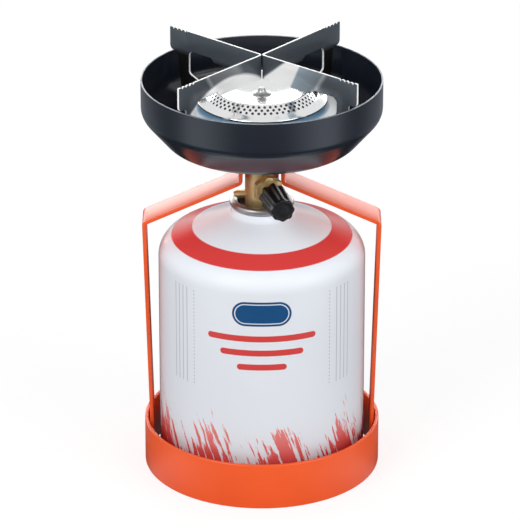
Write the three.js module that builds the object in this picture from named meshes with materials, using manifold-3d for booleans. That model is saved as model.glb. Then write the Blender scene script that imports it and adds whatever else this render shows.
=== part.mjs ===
// Portable gas stove: a burner on a bent strap frame that stands over a screw-on gas cartridge.
// Millimetres, +Z up, -Y is the front. The origin is the centre of the base ring's underside.
import * as THREE from 'three';
import { mergeGeometries, mergeVertices } from 'three/addons/utils/BufferGeometryUtils.js';
import Module from 'manifold-3d';

const wasm = await Module();
wasm.setup();

// Clearances shared by all pieces
const SEAT_GAP = 0.05;
const TURNED_GAP = 0.3;
const SLIDE_GAP = 0.3;

// Facets round a turned piece, by its size
const FACETS_LARGE = 36;
const FACETS_MEDIUM = 24;
const FACETS_SMALL = 16;
const ARC_STEPS = 2;
const WIRE_SIDES = 5;

// Gas cartridge: heights run up from its seam to its neck
const CAN_R = 54;
const CAN_T = 0.9;
const CAN_FLOOR_Z = 1;
const CAN_SEAM_H = 3.4;
const CAN_SEAM_T = 2.4;
const CAN_DOME_RISE = 7;
const CAN_WALL_H = 125.2;
const CAN_SHOULDER_Z = CAN_FLOOR_Z + CAN_WALL_H;
const CAN_SHOULDER_BEND = 13;
const CAN_CONE_H = 15.7;
const CAN_NECK_R = 15.9;
const CAN_NECK_BASE_Z = CAN_SHOULDER_Z + CAN_CONE_H;
const CAN_NECK_H = 3.5;
const CAN_NECK_TOP_Z = CAN_NECK_BASE_Z + CAN_NECK_H;
const CAN_NECK_BEND = 2.4;

// Valve cup in the cartridge's neck, with its threaded nipple
const CUP_T = 0.95;
const CUP_CURL_T = 4;
const CUP_CURL_H = 4.1;
const CUP_CURL_OVERHANG = 0.9;
const CUP_CURL_R = CAN_NECK_R + CUP_CURL_OVERHANG;
const CUP_TOP_Z = CAN_NECK_TOP_Z + CUP_CURL_H;
const CUP_WALL_R = CUP_CURL_R - CUP_CURL_T;
const CUP_DEPTH = 7.9;
const CUP_FLOOR_Z = CUP_TOP_Z - CUP_DEPTH;
const CUP_EDGE = 1.1;
const NIPPLE_R = 5.55;
const NIPPLE_H = 9.1;
const NIPPLE_TOP_Z = CUP_FLOOR_Z + NIPPLE_H;
const NIPPLE_BORE_R = 2;

// Sprung valve inside the cartridge
const HOUSING_R = 5.2;
const HOUSING_BORE_R = 3.3;
const HOUSING_DEPTH = 17.6;
const HOUSING_FLOOR_Z = CUP_FLOOR_Z - HOUSING_DEPTH;
const HOUSING_FLOOR_T = 2;
const HOUSING_PORT_R = 1.2;
const STEM_SEAL_R = 4.4;
const STEM_SEAL_T = 0.6;
const STEM_R = 1.4;
const STEM_FLANGE_R = 2.8;
const STEM_FLANGE_T = 1.4;
const STEM_TIP_GAP = 0.3;
const STEM_TAIL_L = 5;
const SPRING_R = 2.5;
const SPRING_WIRE_R = 0.35;
const SPRING_TURNS = 5;
const SPRING_STEPS = 9;

// Control axis: horizontal, turned from the front towards the right
const KNOB_AZIMUTH_DEG = 15.5;
const KNOB_AXIS_RISE = 8.2;
const KNOB_AXIS_Z = NIPPLE_TOP_Z + KNOB_AXIS_RISE;

// Stove valve body
const VALVE_R = 8.75;
const VALVE_FOOT_GAP = 1;
const VALVE_FOOT_Z = CUP_FLOOR_Z + VALVE_FOOT_GAP;
const VALVE_HEAD_H = 10.4;
const VALVE_TOP_Z = KNOB_AXIS_Z + VALVE_HEAD_H;
const VALVE_EDGE = 0.8;
const THREAD_BORE_R = NIPPLE_R + TURNED_GAP;
const SEAL_T = 0.7;
const THREAD_BORE_TOP_Z = NIPPLE_TOP_Z + SEAL_T + SEAT_GAP * 2;
const PIN_R = 1.1;
const PIN_REACH = 3.5;
const PIN_TIP_Z = NIPPLE_TOP_Z - PIN_REACH;
const PIN_ROOT = 2.5;
const JET_R = 2.6;
const JET_RISE = 3.1;
const JET_Z = KNOB_AXIS_Z + JET_RISE;
const JET_FOOT_H = 2.35;
const JET_HEAD_H = 3.6;
const JET_ORIFICE_R = 0.35;
const PASSAGE_R = 1.1;

// Spindle, gland and knob, in distances along the control axis
const SEAT_AT = 2.4;
const SPINDLE_BORE_R = 2.9;
const SPINDLE_THREAD_R = 2.6;
const SPINDLE_THREAD_L = 1.3;
const SPINDLE_R = 1.6;
const SPINDLE_GRIP_L = 18.4;
const NEEDLE_TIP_R = 0.4;
const NEEDLE_TIP_L = 1.4;
const GLAND_BORE_R = 4;
const GLAND_BORE_L = 2.4;
const GLAND_SEAL_L = 1.6;
const BOSS_R = 5.5;
const BOSS_PROUD = 0.95;
const BOSS_END = VALVE_R + BOSS_PROUD;
const GLAND_BORE_FROM = BOSS_END - GLAND_BORE_L;
const GLAND_NUT_FLATS = 13.8;
const GLAND_NUT_L = 4.9;
const GLAND_NECK_R = 4.6;
const GLAND_NECK_L = 4.2;
const KNOB_GAP = 1.35;
const KNOB_FROM = BOSS_END + GLAND_NUT_L + GLAND_NECK_L + KNOB_GAP;
const KNOB_L = 20.9;
const KNOB_R = 7.4;
const KNOB_END_R = 6.2;
const KNOB_EDGE = 0.8;
const KNOB_FLUTES = 8;
const KNOB_FLUTE_DEPTH = 1.2;
const KNOB_RIDGE_SHARE = 0.12;
const SPINDLE_END = KNOB_FROM + SPINDLE_GRIP_L;

// Side plug in the valve body
const PLUG_R = 2.2;
const PLUG_DROP = 7.1;
const PLUG_Z = KNOB_AXIS_Z - PLUG_DROP;
const PLUG_SOCKET_DEPTH = 2.3;
const PLUG_SEAT_X = VALVE_R - PLUG_SOCKET_DEPTH;
const PLUG_PROUD = 5.9;
const PLUG_END_X = VALVE_R + PLUG_PROUD;
const PLUG_POINT_L = 1.8;
const PLUG_POINT_R = 1.2;

// Base ring and frame strap: the strip's feet stand between the cartridge and the ring
const STRAP_T = 2;
const STRAP_W = 19;
const STRAP_CAN_GAP = 2.45;
const STRAP_RING_GAP = 0.78;
const STRAP_FOOT_X = CAN_R + STRAP_CAN_GAP + STRAP_T;
const STRAP_FOOT_Z = 4;
const STRAP_LEAN = 3.7;
const STRAP_CORNER_X = STRAP_FOOT_X + STRAP_LEAN;
const STRAP_SHOULDER_RISE = 13.1;
const STRAP_CORNER_Z = CAN_SHOULDER_Z + STRAP_SHOULDER_RISE;
const BRIDGE_TOP_Z = VALVE_TOP_Z + SEAT_GAP + STRAP_T;
const NECK_GAP = 1.15;
const NECK_X = VALVE_R + NECK_GAP + STRAP_T;
const NECK_DROP = 9.35;
const NECK_Z = BRIDGE_TOP_Z - NECK_DROP;
const STRAP_BEND_R = 3.2;
const RING_T = 2;
const RING_R = Math.hypot(STRAP_FOOT_X, STRAP_W / 2) + STRAP_RING_GAP + RING_T;
const RING_H = 25;
const RING_EDGE = 0.3;

// Windshield bowl, outer face: heights run up from its flat floor
const BOWL_T = 0.9;
const BOWL_OVERHANG = 0.15;
const BOWL_R = STRAP_CORNER_X + BOWL_OVERHANG;
const BOWL_FLAT_Z = BRIDGE_TOP_Z + SEAT_GAP;
const BOWL_FLAT_R = 12.5;
const BOWL_HIP_INSET = 13.3;
const BOWL_HIP_R = BOWL_R - BOWL_HIP_INSET;
const BOWL_HIP_RISE = 11.4;
const BOWL_HIP_Z = BOWL_FLAT_Z + BOWL_HIP_RISE;
const BOWL_HAUNCH_H = 15.7;
const BOWL_WALL_Z = BOWL_HIP_Z + BOWL_HAUNCH_H;
const BOWL_WALL_H = 17.5;
const BOWL_TOP_Z = BOWL_WALL_Z + BOWL_WALL_H;
const BOWL_WALL_BEND = 5;
const BOWL_HIP_BEND = 10;
const BOWL_FLAT_BEND = 3;

// Burner dish
const DISH_T = 0.8;
const DISH_RISE = 18;
const DISH_FLOOR_Z = BOWL_FLAT_Z + DISH_RISE;
const DISH_FLOOR_R = 18;
const DISH_WALL_W = 14.8;
const DISH_WALL_H = 15.2;
const DISH_LIP_R = DISH_FLOOR_R + DISH_WALL_W;
const DISH_LIP_Z = DISH_FLOOR_Z + DISH_WALL_H;
const DISH_LIP_W = 1.6;
const DISH_LIP_H = 3.5;
const DISH_FLARE_R = DISH_LIP_R + DISH_LIP_W;
const DISH_FLARE_Z = DISH_LIP_Z - DISH_LIP_H;
const DISH_FLARE_W = 4.6;
const DISH_FLARE_H = 0.9;
const DISH_R = DISH_FLARE_R + DISH_FLARE_W;
const DISH_EDGE_Z = DISH_FLARE_Z - DISH_FLARE_H;

// Mixing tube from the valve to the burner
const TUBE_R = 5;
const TUBE_T = 1.1;
const TUBE_BORE_R = TUBE_R - TUBE_T;
const TUBE_HOLE_R = TUBE_R + TURNED_GAP;
const TUBE_COLLAR_R = 7;
const TUBE_COLLAR_H = 2;
const TUBE_LIP_R = 6.2;
const TUBE_LIP_H = 1.6;
const TUBE_SOCKET_DEPTH = 5;
const AIR_HOLE_R = 1.7;
const AIR_HOLE_DROP = 5.4;
const AIR_HOLE_Z = DISH_FLOOR_Z - AIR_HOLE_DROP;
const AIR_HOLE_COUNT = 4;

// Burner cap: its rim stands over the dish's lip
const CAP_T = 0.7;
const CAP_OVERHANG = 1.1;
const CAP_RIM_GAP = 1.3;
const CAP_R = DISH_LIP_R + CAP_OVERHANG;
const CAP_RIM_Z = DISH_LIP_Z + CAP_RIM_GAP;
const CAP_RIM_H = 1;
const CAP_RIM_W = 5;
const CAP_RIM_RISE = 1;
const CAP_BAND_FOOT_R = CAP_R - CAP_RIM_W;
const CAP_BAND_FOOT_Z = CAP_RIM_Z + CAP_RIM_RISE;
const CAP_BAND_W = 4.3;
const CAP_BAND_H = 4.1;
const CAP_BAND_HEAD_R = CAP_BAND_FOOT_R - CAP_BAND_W;
const CAP_BAND_HEAD_Z = CAP_BAND_FOOT_Z + CAP_BAND_H;
const CAP_CENTRE_R = 6;
const CAP_CENTRE_DROP = 3.5;
const CAP_CENTRE_Z = CAP_BAND_HEAD_Z - CAP_CENTRE_DROP;
const PORT_R = 0.65;
const PORT_SIDES = 6;
const PORTS_PER_ROW = 56;
const PORT_ROW_SHARES = [0.79, 0.49, 0.19];
const RIVET_R = 1.5;
const RIVET_HEAD_R = 4.9;
const RIVET_TOP_R = 1.3;
const RIVET_HEAD_H = 3.5;
const RIVET_TOP_Z = CAP_CENTRE_Z + RIVET_HEAD_H;
const RIVET_TAIL_R = 3;
const RIVET_TAIL_H = 0.9;

// Clamp stack over the bowl's floor
const WEB_IN_R = 10.9;
const WASHER_GAP = 0.4;
const WASHER_R = WEB_IN_R - WASHER_GAP;
const WASHER_T = 1.2;
const NUT_FLATS = 15;
const NUT_H = 4;

// Pan supports: two sheets folded to a V, back to back
const SHEET_T = 1.1;
const FOLD_R = 1.8;
const FOLD_STEPS = 4;
const FOLD_SHIFT = 0.1;
const SUPPORT_RISE = 13;
const SUPPORT_TOP_Z = BOWL_TOP_Z + SUPPORT_RISE;
const SUPPORT_OVERHANG = 0.9;
const SUPPORT_R = BOWL_R + SUPPORT_OVERHANG;
const TIP_GAP = 0.4;
const TIP_Z = BOWL_TOP_Z + TIP_GAP;
const TIP_ROUND = 2.4;
const LEG_INSET = 4.5;
const LEG_OUT_R = BOWL_R - LEG_INSET;
const LEG_TAPER = 2.8;
const LEG_W = 7.8;
const LEG_IN_R = LEG_OUT_R - LEG_W;
const LEG_TOP_ROUND = 2.8;
const BAR_RISE = 2.4;
const BAR_UNDER_Z = BOWL_TOP_Z + BAR_RISE;
const BAR_STEP_H = 2.3;
const BAR_UNDER_MID_Z = BAR_UNDER_Z - BAR_STEP_H;
const BAR_STEP_W = 2.2;
const BAR_STEP_R = LEG_IN_R * 2 / 3;
const WEB_DISH_GAP = 2.3;
const WEB_SHOULDER_R = DISH_R + WEB_DISH_GAP;
const WEB_SHOULDER_Z = DISH_EDGE_Z + WEB_DISH_GAP;
const WEB_UNDER_GAP = 1.4;
const WEB_SLOPE_RISE = 3.4;
const WEB_FOOT_H = 6.5;
const FLOOR_GAP = 0.5;
const TOOTH_COUNT = 4;
const TOOTH_PITCH = 2.7;
const TOOTH_W = 1.5;
const TOOTH_DEPTH = 0.95;
const FOOT_TUBE_GAP = 1.3;
const FOOT_IN_R = TUBE_HOLE_R + FOOT_TUBE_GAP;
const FOOT_LAP = 0.5;
const FOOT_OUT_R = WEB_IN_R + FOOT_LAP;
const FOOT_W = 4.2;
const LEFT_SHEET_DEG = [138.5, 228.5];
const RIGHT_SHEET_DEG = [319.5, 410.5];

// Colours and surface values of the pieces
const ORANGE = { color: 0xef5a1f, roughness: 0.4, metalness: 0 };
const BLACK_ENAMEL = { color: 0x17181c, roughness: 0.25, metalness: 0 };
const BLACK_PLASTIC = { color: 0x141414, roughness: 0.4, metalness: 0 };
const BRASS = { color: 0xb98c3f, roughness: 0.3, metalness: 1 };
const STEEL = { color: 0xc9cbce, roughness: 0.15, metalness: 1 };
const DARK_RUBBER = { color: 0x1b1b1b, roughness: 0.8, metalness: 0 };
const WHITE_PAINT = { color: 0xf2f2f2, roughness: 0.15, metalness: 0 };
const GREY_PLASTIC = { color: 0xb8babd, roughness: 0.5, metalness: 0 };

const stove = new THREE.Group();

// Adds a named mesh with a material of its own
function place(name, geometry, surface, parent = stove) {
  const mesh = new THREE.Mesh(geometry, new THREE.MeshStandardMaterial(surface));
  mesh.name = name;
  parent.add(mesh);
  return mesh;
}

// Merges shared vertices and drops the flat triangles that meet the axis
function tidy(geometry) {
  const bare = geometry.clone();
  bare.deleteAttribute('normal');
  bare.deleteAttribute('uv');
  const merged = mergeVertices(bare, 1e-4);
  const kept = [];
  const index = merged.index.array;
  for (let i = 0; i < index.length; i += 3) {
    const [a, b, c] = [index[i], index[i + 1], index[i + 2]];
    if (a !== b && b !== c && c !== a) {
      kept.push(a, b, c);
    }
  }
  merged.setIndex(kept);
  return merged;
}

function toSolid(geometry) {
  const clean = tidy(geometry);
  return new wasm.Manifold(new wasm.Mesh({
    numProp: 3,
    vertProperties: new Float32Array(clean.attributes.position.array),
    triVerts: new Uint32Array(clean.index.array),
  }));
}

function toGeometry(solid) {
  const mesh = solid.getMesh();
  const geometry = new THREE.BufferGeometry();
  geometry.setAttribute('position', new THREE.BufferAttribute(new Float32Array(mesh.vertProperties), 3));
  geometry.setIndex(new THREE.BufferAttribute(new Uint32Array(mesh.triVerts), 1));
  geometry.computeVertexNormals();
  return geometry;
}

// Cuts each of the tool geometries out of the blank
function cut(blank, tools) {
  let solid = toSolid(blank);
  for (const tool of tools) {
    solid = solid.subtract(toSolid(tool));
  }
  return toGeometry(solid);
}

function join(pieces) {
  let solid = toSolid(pieces[0]);
  for (const piece of pieces.slice(1)) {
    solid = solid.add(toSolid(piece));
  }
  return toGeometry(solid);
}

// Rounds the corners of a line: each corner is [x, y] or [x, y, radius]
function rounded(corners) {
  const points = [];
  corners.forEach(([x, y, radius = 0], i) => {
    const here = new THREE.Vector2(x, y);
    const before = corners[i - 1];
    const after = corners[i + 1];
    if (!radius || !before || !after) {
      points.push(here);
      return;
    }
    const back = new THREE.Vector2(before[0], before[1]).sub(here).normalize();
    const ahead = new THREE.Vector2(after[0], after[1]).sub(here).normalize();
    const half = Math.acos(back.dot(ahead)) / 2;
    const reach = radius / Math.tan(half);
    const start = here.clone().addScaledVector(back, reach);
    const end = here.clone().addScaledVector(ahead, reach);
    const middle = back.clone().add(ahead).normalize();
    const centre = here.clone().addScaledVector(middle, radius / Math.sin(half));
    const from = start.clone().sub(centre);
    const turn = Math.atan2(from.cross(end.clone().sub(centre)), from.dot(end.clone().sub(centre)));
    for (let k = 0; k <= ARC_STEPS; k += 1) {
      points.push(from.clone().rotateAround(new THREE.Vector2(), turn * k / ARC_STEPS).add(centre));
    }
  });
  return points;
}

// Moves a line sideways to its left by the distance, with mitred corners
function offset(points, distance) {
  return points.map((point, i) => {
    const before = points[Math.max(i - 1, 0)];
    const after = points[Math.min(i + 1, points.length - 1)];
    const inDir = point.clone().sub(before);
    const outDir = after.clone().sub(point);
    const first = (inDir.lengthSq() > 0 ? inDir : outDir).clone().normalize();
    const second = (outDir.lengthSq() > 0 ? outDir : inDir).clone().normalize();
    const normalA = new THREE.Vector2(-first.y, first.x);
    const normalB = new THREE.Vector2(-second.y, second.x);
    const mitre = normalA.clone().add(normalB).normalize();
    return point.clone().addScaledVector(mitre, distance / mitre.dot(normalA));
  });
}

// Closes a line and its offset to one sheet-metal section
function sheetSection(points, thickness) {
  const inner = offset(points, thickness).reverse();
  return [...points, ...inner, points[0].clone()];
}

// Turns a closed section, or one that starts and ends on the axis, about Z
function revolve(points, facets) {
  const geometry = tidy(new THREE.LatheGeometry(points, facets));
  geometry.rotateX(Math.PI / 2);
  return geometry;
}

function asPoints(pairs) {
  return pairs.map(([x, y]) => new THREE.Vector2(x, y));
}

// A plate standing in the XZ plane, centred on Y
function plate(points, thickness) {
  const geometry = new THREE.ExtrudeGeometry(new THREE.Shape(points), {
    depth: thickness,
    bevelEnabled: false,
  });
  geometry.rotateX(Math.PI / 2);
  geometry.translate(0, thickness / 2, 0);
  return geometry;
}

// A round bar along Z from one height to another
function bar(radius, fromZ, toZ, facets) {
  const geometry = new THREE.CylinderGeometry(radius, radius, toZ - fromZ, facets);
  geometry.rotateX(Math.PI / 2);
  geometry.translate(0, 0, (fromZ + toZ) / 2);
  return geometry;
}

// Lays a piece made along Z onto the control axis
function onControlAxis(geometry) {
  geometry.rotateX(Math.PI / 2);
  geometry.rotateZ(THREE.MathUtils.degToRad(KNOB_AZIMUTH_DEG));
  geometry.translate(0, 0, KNOB_AXIS_Z);
  return geometry;
}

// A six-sided nut blank along Z with the given width over its flats
function hexBar(flats, fromZ, toZ) {
  return bar(flats / 2 / Math.cos(Math.PI / 6), fromZ, toZ, 6);
}

function washerSection(innerR, outerR, fromZ, toZ) {
  return asPoints([[outerR, fromZ], [outerR, toZ], [innerR, toZ], [innerR, fromZ], [outerR, fromZ]]);
}

// Base ring
const ringSection = asPoints([
  [RING_R - RING_EDGE, 0],
  [RING_R, RING_EDGE],
  [RING_R, RING_H - RING_EDGE],
  [RING_R - RING_EDGE, RING_H],
  [RING_R - RING_T + RING_EDGE, RING_H],
  [RING_R - RING_T, RING_H - RING_EDGE],
  [RING_R - RING_T, RING_EDGE],
  [RING_R - RING_T + RING_EDGE, 0],
  [RING_R - RING_EDGE, 0],
]);
place('base_ring', revolve(ringSection, FACETS_LARGE), ORANGE);

// Frame strap, outer face from the right foot over the bridge to the left foot
const strapHalf = [
  [STRAP_FOOT_X, STRAP_FOOT_Z],
  [STRAP_CORNER_X, STRAP_CORNER_Z, STRAP_BEND_R],
  [NECK_X, NECK_Z, STRAP_BEND_R - STRAP_T],
  [NECK_X, BRIDGE_TOP_Z, STRAP_BEND_R],
];
const strapMirror = strapHalf.map(([x, z, radius]) => [-x, z, radius]).reverse();
const strapLine = rounded([...strapHalf, ...strapMirror]);
const strapBlank = plate(sheetSection(strapLine, STRAP_T).slice(0, -1), STRAP_W);
const bridgeHole = bar(TUBE_HOLE_R, BRIDGE_TOP_Z - STRAP_T * 2, BRIDGE_TOP_Z + STRAP_T, FACETS_SMALL);
place('frame_strap', cut(strapBlank, [bridgeHole]), ORANGE);

// Windshield bowl
const bowlLine = rounded([
  [TUBE_HOLE_R, BOWL_FLAT_Z],
  [BOWL_FLAT_R, BOWL_FLAT_Z, BOWL_FLAT_BEND],
  [BOWL_HIP_R, BOWL_HIP_Z, BOWL_HIP_BEND],
  [BOWL_R, BOWL_WALL_Z, BOWL_WALL_BEND],
  [BOWL_R, BOWL_TOP_Z],
]);
place('windshield_bowl', revolve(sheetSection(bowlLine, BOWL_T), FACETS_LARGE), BLACK_ENAMEL);

// Valve body: a turned block with the control boss, its bores and passages
const valveBlank = join([
  revolve(asPoints([
    [0, VALVE_FOOT_Z],
    [VALVE_R - VALVE_EDGE, VALVE_FOOT_Z],
    [VALVE_R, VALVE_FOOT_Z + VALVE_EDGE],
    [VALVE_R, VALVE_TOP_Z - VALVE_EDGE],
    [VALVE_R - VALVE_EDGE, VALVE_TOP_Z],
    [0, VALVE_TOP_Z],
  ]), FACETS_MEDIUM),
  onControlAxis(bar(BOSS_R, 0, BOSS_END, FACETS_SMALL)),
]);
const socketFloorZ = VALVE_TOP_Z - TUBE_SOCKET_DEPTH;
const sideSeat = bar(PLUG_R + SEAT_GAP, PLUG_SEAT_X - SEAT_GAP, VALVE_R * 2, FACETS_SMALL);
sideSeat.rotateY(-Math.PI / 2);
sideSeat.translate(0, 0, PLUG_Z);
const inletPassage = bar(PASSAGE_R, THREAD_BORE_TOP_Z - SEAT_GAP, KNOB_AXIS_Z, FACETS_SMALL / 2);
const inletAngle = THREE.MathUtils.degToRad(KNOB_AZIMUTH_DEG);
const inletOut = SEAT_AT + PASSAGE_R;
inletPassage.translate(inletOut * Math.sin(inletAngle), -inletOut * Math.cos(inletAngle), 0);
const valveCuts = [
  bar(THREAD_BORE_R, 0, THREAD_BORE_TOP_Z, FACETS_SMALL),
  bar(PIN_R + SEAT_GAP, 0, THREAD_BORE_TOP_Z + PIN_ROOT, FACETS_SMALL / 2),
  bar(TUBE_R + SEAT_GAP, socketFloorZ, BOWL_TOP_Z, FACETS_SMALL),
  bar(JET_R + SEAT_GAP, JET_Z - SEAT_GAP, BOWL_TOP_Z, FACETS_SMALL),
  bar(PASSAGE_R, KNOB_AXIS_Z, BOWL_TOP_Z, FACETS_SMALL / 2),
  onControlAxis(bar(PASSAGE_R, 0, BOSS_END * 2, FACETS_SMALL / 2)),
  onControlAxis(bar(SPINDLE_BORE_R, SEAT_AT, BOSS_END * 2, FACETS_SMALL)),
  onControlAxis(bar(GLAND_BORE_R, GLAND_BORE_FROM, BOSS_END * 2, FACETS_SMALL)),
  inletPassage,
  sideSeat,
];
place('valve_body', cut(valveBlank, valveCuts), BRASS);

// Seal above the nipple and the pin that opens the cartridge's valve
const inletSealTop = THREAD_BORE_TOP_Z - SEAT_GAP;
const inletSealUnder = inletSealTop - SEAL_T;
const inletSeal = washerSection(NIPPLE_BORE_R + SLIDE_GAP, THREAD_BORE_R - SEAT_GAP, inletSealUnder, inletSealTop);
place('inlet_seal', revolve(inletSeal, FACETS_SMALL), DARK_RUBBER);
const pinTopZ = THREAD_BORE_TOP_Z + PIN_ROOT - SEAT_GAP;
place('depressor_pin', bar(PIN_R, PIN_TIP_Z, pinTopZ, FACETS_SMALL / 2), STEEL);

// Jet: a six-sided head on a round foot with a fine bore
const jetSplitZ = JET_Z + JET_FOOT_H;
const jetBlank = join([
  bar(JET_R, JET_Z, jetSplitZ + SEAT_GAP, FACETS_SMALL),
  hexBar(JET_R * 2, jetSplitZ, jetSplitZ + JET_HEAD_H),
]);
place('jet_nozzle', cut(jetBlank, [bar(JET_ORIFICE_R, 0, BOWL_TOP_Z, 8)]), BRASS);

// Side plug: a round shank and a six-sided head that ends in a blunt point
const plugHeadX = VALVE_R + SEAT_GAP;
const plugPointX = PLUG_END_X - PLUG_POINT_L;
const plugPoint = new THREE.CylinderGeometry(PLUG_POINT_R, PLUG_R, PLUG_POINT_L, 6);
plugPoint.rotateX(Math.PI / 2);
plugPoint.translate(0, 0, plugPointX + PLUG_POINT_L / 2);
const plug = join([
  bar(PLUG_R * Math.cos(Math.PI / 6), PLUG_SEAT_X, plugHeadX + SEAT_GAP, FACETS_SMALL),
  bar(PLUG_R, plugHeadX, plugPointX, 6),
  plugPoint,
]);
plug.rotateY(-Math.PI / 2);
plug.translate(0, 0, PLUG_Z);
place('side_plug', plug, BRASS);

// Gland nut with its neck and spigot, and the seal round the spindle
const glandNutFrom = BOSS_END + SEAT_GAP;
const glandNutEnd = glandNutFrom + GLAND_NUT_L;
const spigotFrom = GLAND_BORE_FROM + GLAND_SEAL_L + SEAT_GAP;
const glandNut = cut(
  join([
    hexBar(GLAND_NUT_FLATS, glandNutFrom, glandNutEnd),
    bar(GLAND_NECK_R, glandNutEnd - SEAT_GAP, glandNutEnd + GLAND_NECK_L, FACETS_SMALL),
    bar(GLAND_BORE_R - TURNED_GAP, spigotFrom, glandNutFrom + SEAT_GAP, FACETS_SMALL),
  ]),
  [bar(SPINDLE_R + SLIDE_GAP, 0, KNOB_FROM, FACETS_SMALL)],
);
place('gland_nut', onControlAxis(glandNut), BRASS);
const sealTubeR = (GLAND_BORE_R - SPINDLE_R - SLIDE_GAP * 2) / 2;
const glandSeal = new THREE.TorusGeometry(SPINDLE_R + SLIDE_GAP + sealTubeR, sealTubeR, 6, FACETS_SMALL);
glandSeal.scale(1, 1, GLAND_SEAL_L / 2 / sealTubeR);
glandSeal.translate(0, 0, GLAND_BORE_FROM + GLAND_SEAL_L / 2);
place('gland_seal', onControlAxis(glandSeal), DARK_RUBBER);

// Needle spindle with its seat cone and threaded waist
const threadFrom = SEAT_AT + SLIDE_GAP + SPINDLE_THREAD_R - PASSAGE_R;
const threadEnd = threadFrom + SPINDLE_THREAD_L;
const spindleLine = asPoints([
  [0, SEAT_AT - NEEDLE_TIP_L],
  [NEEDLE_TIP_R, SEAT_AT - NEEDLE_TIP_L],
  [PASSAGE_R - SLIDE_GAP, SEAT_AT + SLIDE_GAP],
  [SPINDLE_THREAD_R, threadFrom],
  [SPINDLE_THREAD_R, threadEnd],
  [SPINDLE_R, threadEnd + SPINDLE_THREAD_R - SPINDLE_R],
  [SPINDLE_R, SPINDLE_END],
  [0, SPINDLE_END],
]);
place('needle_spindle', onControlAxis(revolve(spindleLine, FACETS_SMALL)), BRASS);

// Fluted knob, tapered to its end
const fluteSteps = [-KNOB_RIDGE_SHARE, KNOB_RIDGE_SHARE, 1 / 3, 1 / 2, 2 / 3];
const fluteOutline = [];
for (let flute = 0; flute < KNOB_FLUTES; flute += 1) {
  for (const step of fluteSteps) {
    const angle = 2 * Math.PI * (flute + step) / KNOB_FLUTES;
    const across = Math.max(step - KNOB_RIDGE_SHARE, 0) / (1 - KNOB_RIDGE_SHARE * 2);
    const radius = KNOB_R - KNOB_FLUTE_DEPTH * across * (1 - across) * 4;
    fluteOutline.push(new THREE.Vector2(radius * Math.cos(angle), radius * Math.sin(angle)));
  }
}
const knobBlank = new THREE.ExtrudeGeometry(new THREE.Shape(fluteOutline), {
  depth: KNOB_L - KNOB_EDGE * 2,
  bevelEnabled: true,
  bevelThickness: KNOB_EDGE,
  bevelSize: KNOB_EDGE,
  bevelOffset: -KNOB_EDGE,
  bevelSegments: 1,
});
knobBlank.translate(0, 0, KNOB_FROM + KNOB_EDGE);
const knobPoints = knobBlank.attributes.position;
for (let i = 0; i < knobPoints.count; i += 1) {
  const along = (knobPoints.getZ(i) - KNOB_FROM) / KNOB_L;
  const share = 1 + along * (KNOB_END_R / KNOB_R - 1);
  knobPoints.setX(i, knobPoints.getX(i) * share);
  knobPoints.setY(i, knobPoints.getY(i) * share);
}
const knobBore = bar(SPINDLE_R + TURNED_GAP, 0, SPINDLE_END + TURNED_GAP, FACETS_SMALL);
place('knob', onControlAxis(cut(knobBlank, [knobBore])), BLACK_PLASTIC);

// Mixing tube with its burner collar, swaged lip and air holes
const dishUnderZ = DISH_FLOOR_Z - DISH_T / 2;
const dishOverZ = DISH_FLOOR_Z + DISH_T / 2;
const tubeFootZ = socketFloorZ + SEAT_GAP;
const tubeBlank = revolve(asPoints([
  [TUBE_R, tubeFootZ],
  [TUBE_R, dishUnderZ - SEAT_GAP - TUBE_COLLAR_H],
  [TUBE_COLLAR_R, dishUnderZ - SEAT_GAP - TUBE_COLLAR_H],
  [TUBE_COLLAR_R, dishUnderZ - SEAT_GAP],
  [TUBE_R, dishUnderZ - SEAT_GAP],
  [TUBE_R, dishOverZ + SEAT_GAP],
  [TUBE_LIP_R, dishOverZ + SEAT_GAP],
  [TUBE_R, dishOverZ + SEAT_GAP + TUBE_LIP_H],
  [TUBE_BORE_R, dishOverZ + SEAT_GAP + TUBE_LIP_H],
  [TUBE_BORE_R, tubeFootZ],
  [TUBE_R, tubeFootZ],
]), FACETS_SMALL);
const airHoles = [];
for (let i = 0; i < AIR_HOLE_COUNT; i += 1) {
  const hole = bar(AIR_HOLE_R, 0, TUBE_R * 2, FACETS_SMALL / 2);
  hole.rotateX(Math.PI / 2);
  hole.rotateZ(2 * Math.PI * i / AIR_HOLE_COUNT + Math.PI / AIR_HOLE_COUNT);
  hole.translate(0, 0, AIR_HOLE_Z);
  airHoles.push(hole);
}
place('mixing_tube', cut(tubeBlank, airHoles), BRASS);

// Washer and nut that clamp the supports, the bowl and the bridge
const bowlFloorZ = BOWL_FLAT_Z + BOWL_T;
const washerZ = bowlFloorZ + SHEET_T + SEAT_GAP * 2;
place('lock_washer', revolve(washerSection(TUBE_HOLE_R, WASHER_R, washerZ, washerZ + WASHER_T), FACETS_MEDIUM), STEEL);
const nutZ = washerZ + WASHER_T + SEAT_GAP;
const nutBore = bar(TUBE_R + SEAT_GAP * 2, 0, BOWL_TOP_Z, FACETS_SMALL);
place('tube_lock_nut', cut(hexBar(NUT_FLATS, nutZ, nutZ + NUT_H), [nutBore]), BRASS);

// Burner dish: floor, wall, lip and outer flare
const dishLine = offset(rounded([
  [TUBE_R + SEAT_GAP * 2, DISH_FLOOR_Z],
  [DISH_FLOOR_R, DISH_FLOOR_Z],
  [DISH_LIP_R, DISH_LIP_Z],
  [DISH_FLARE_R, DISH_FLARE_Z],
  [DISH_R, DISH_EDGE_Z],
]), -DISH_T / 2);
place('burner_dish', revolve(sheetSection(dishLine, DISH_T), FACETS_LARGE), STEEL);

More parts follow.
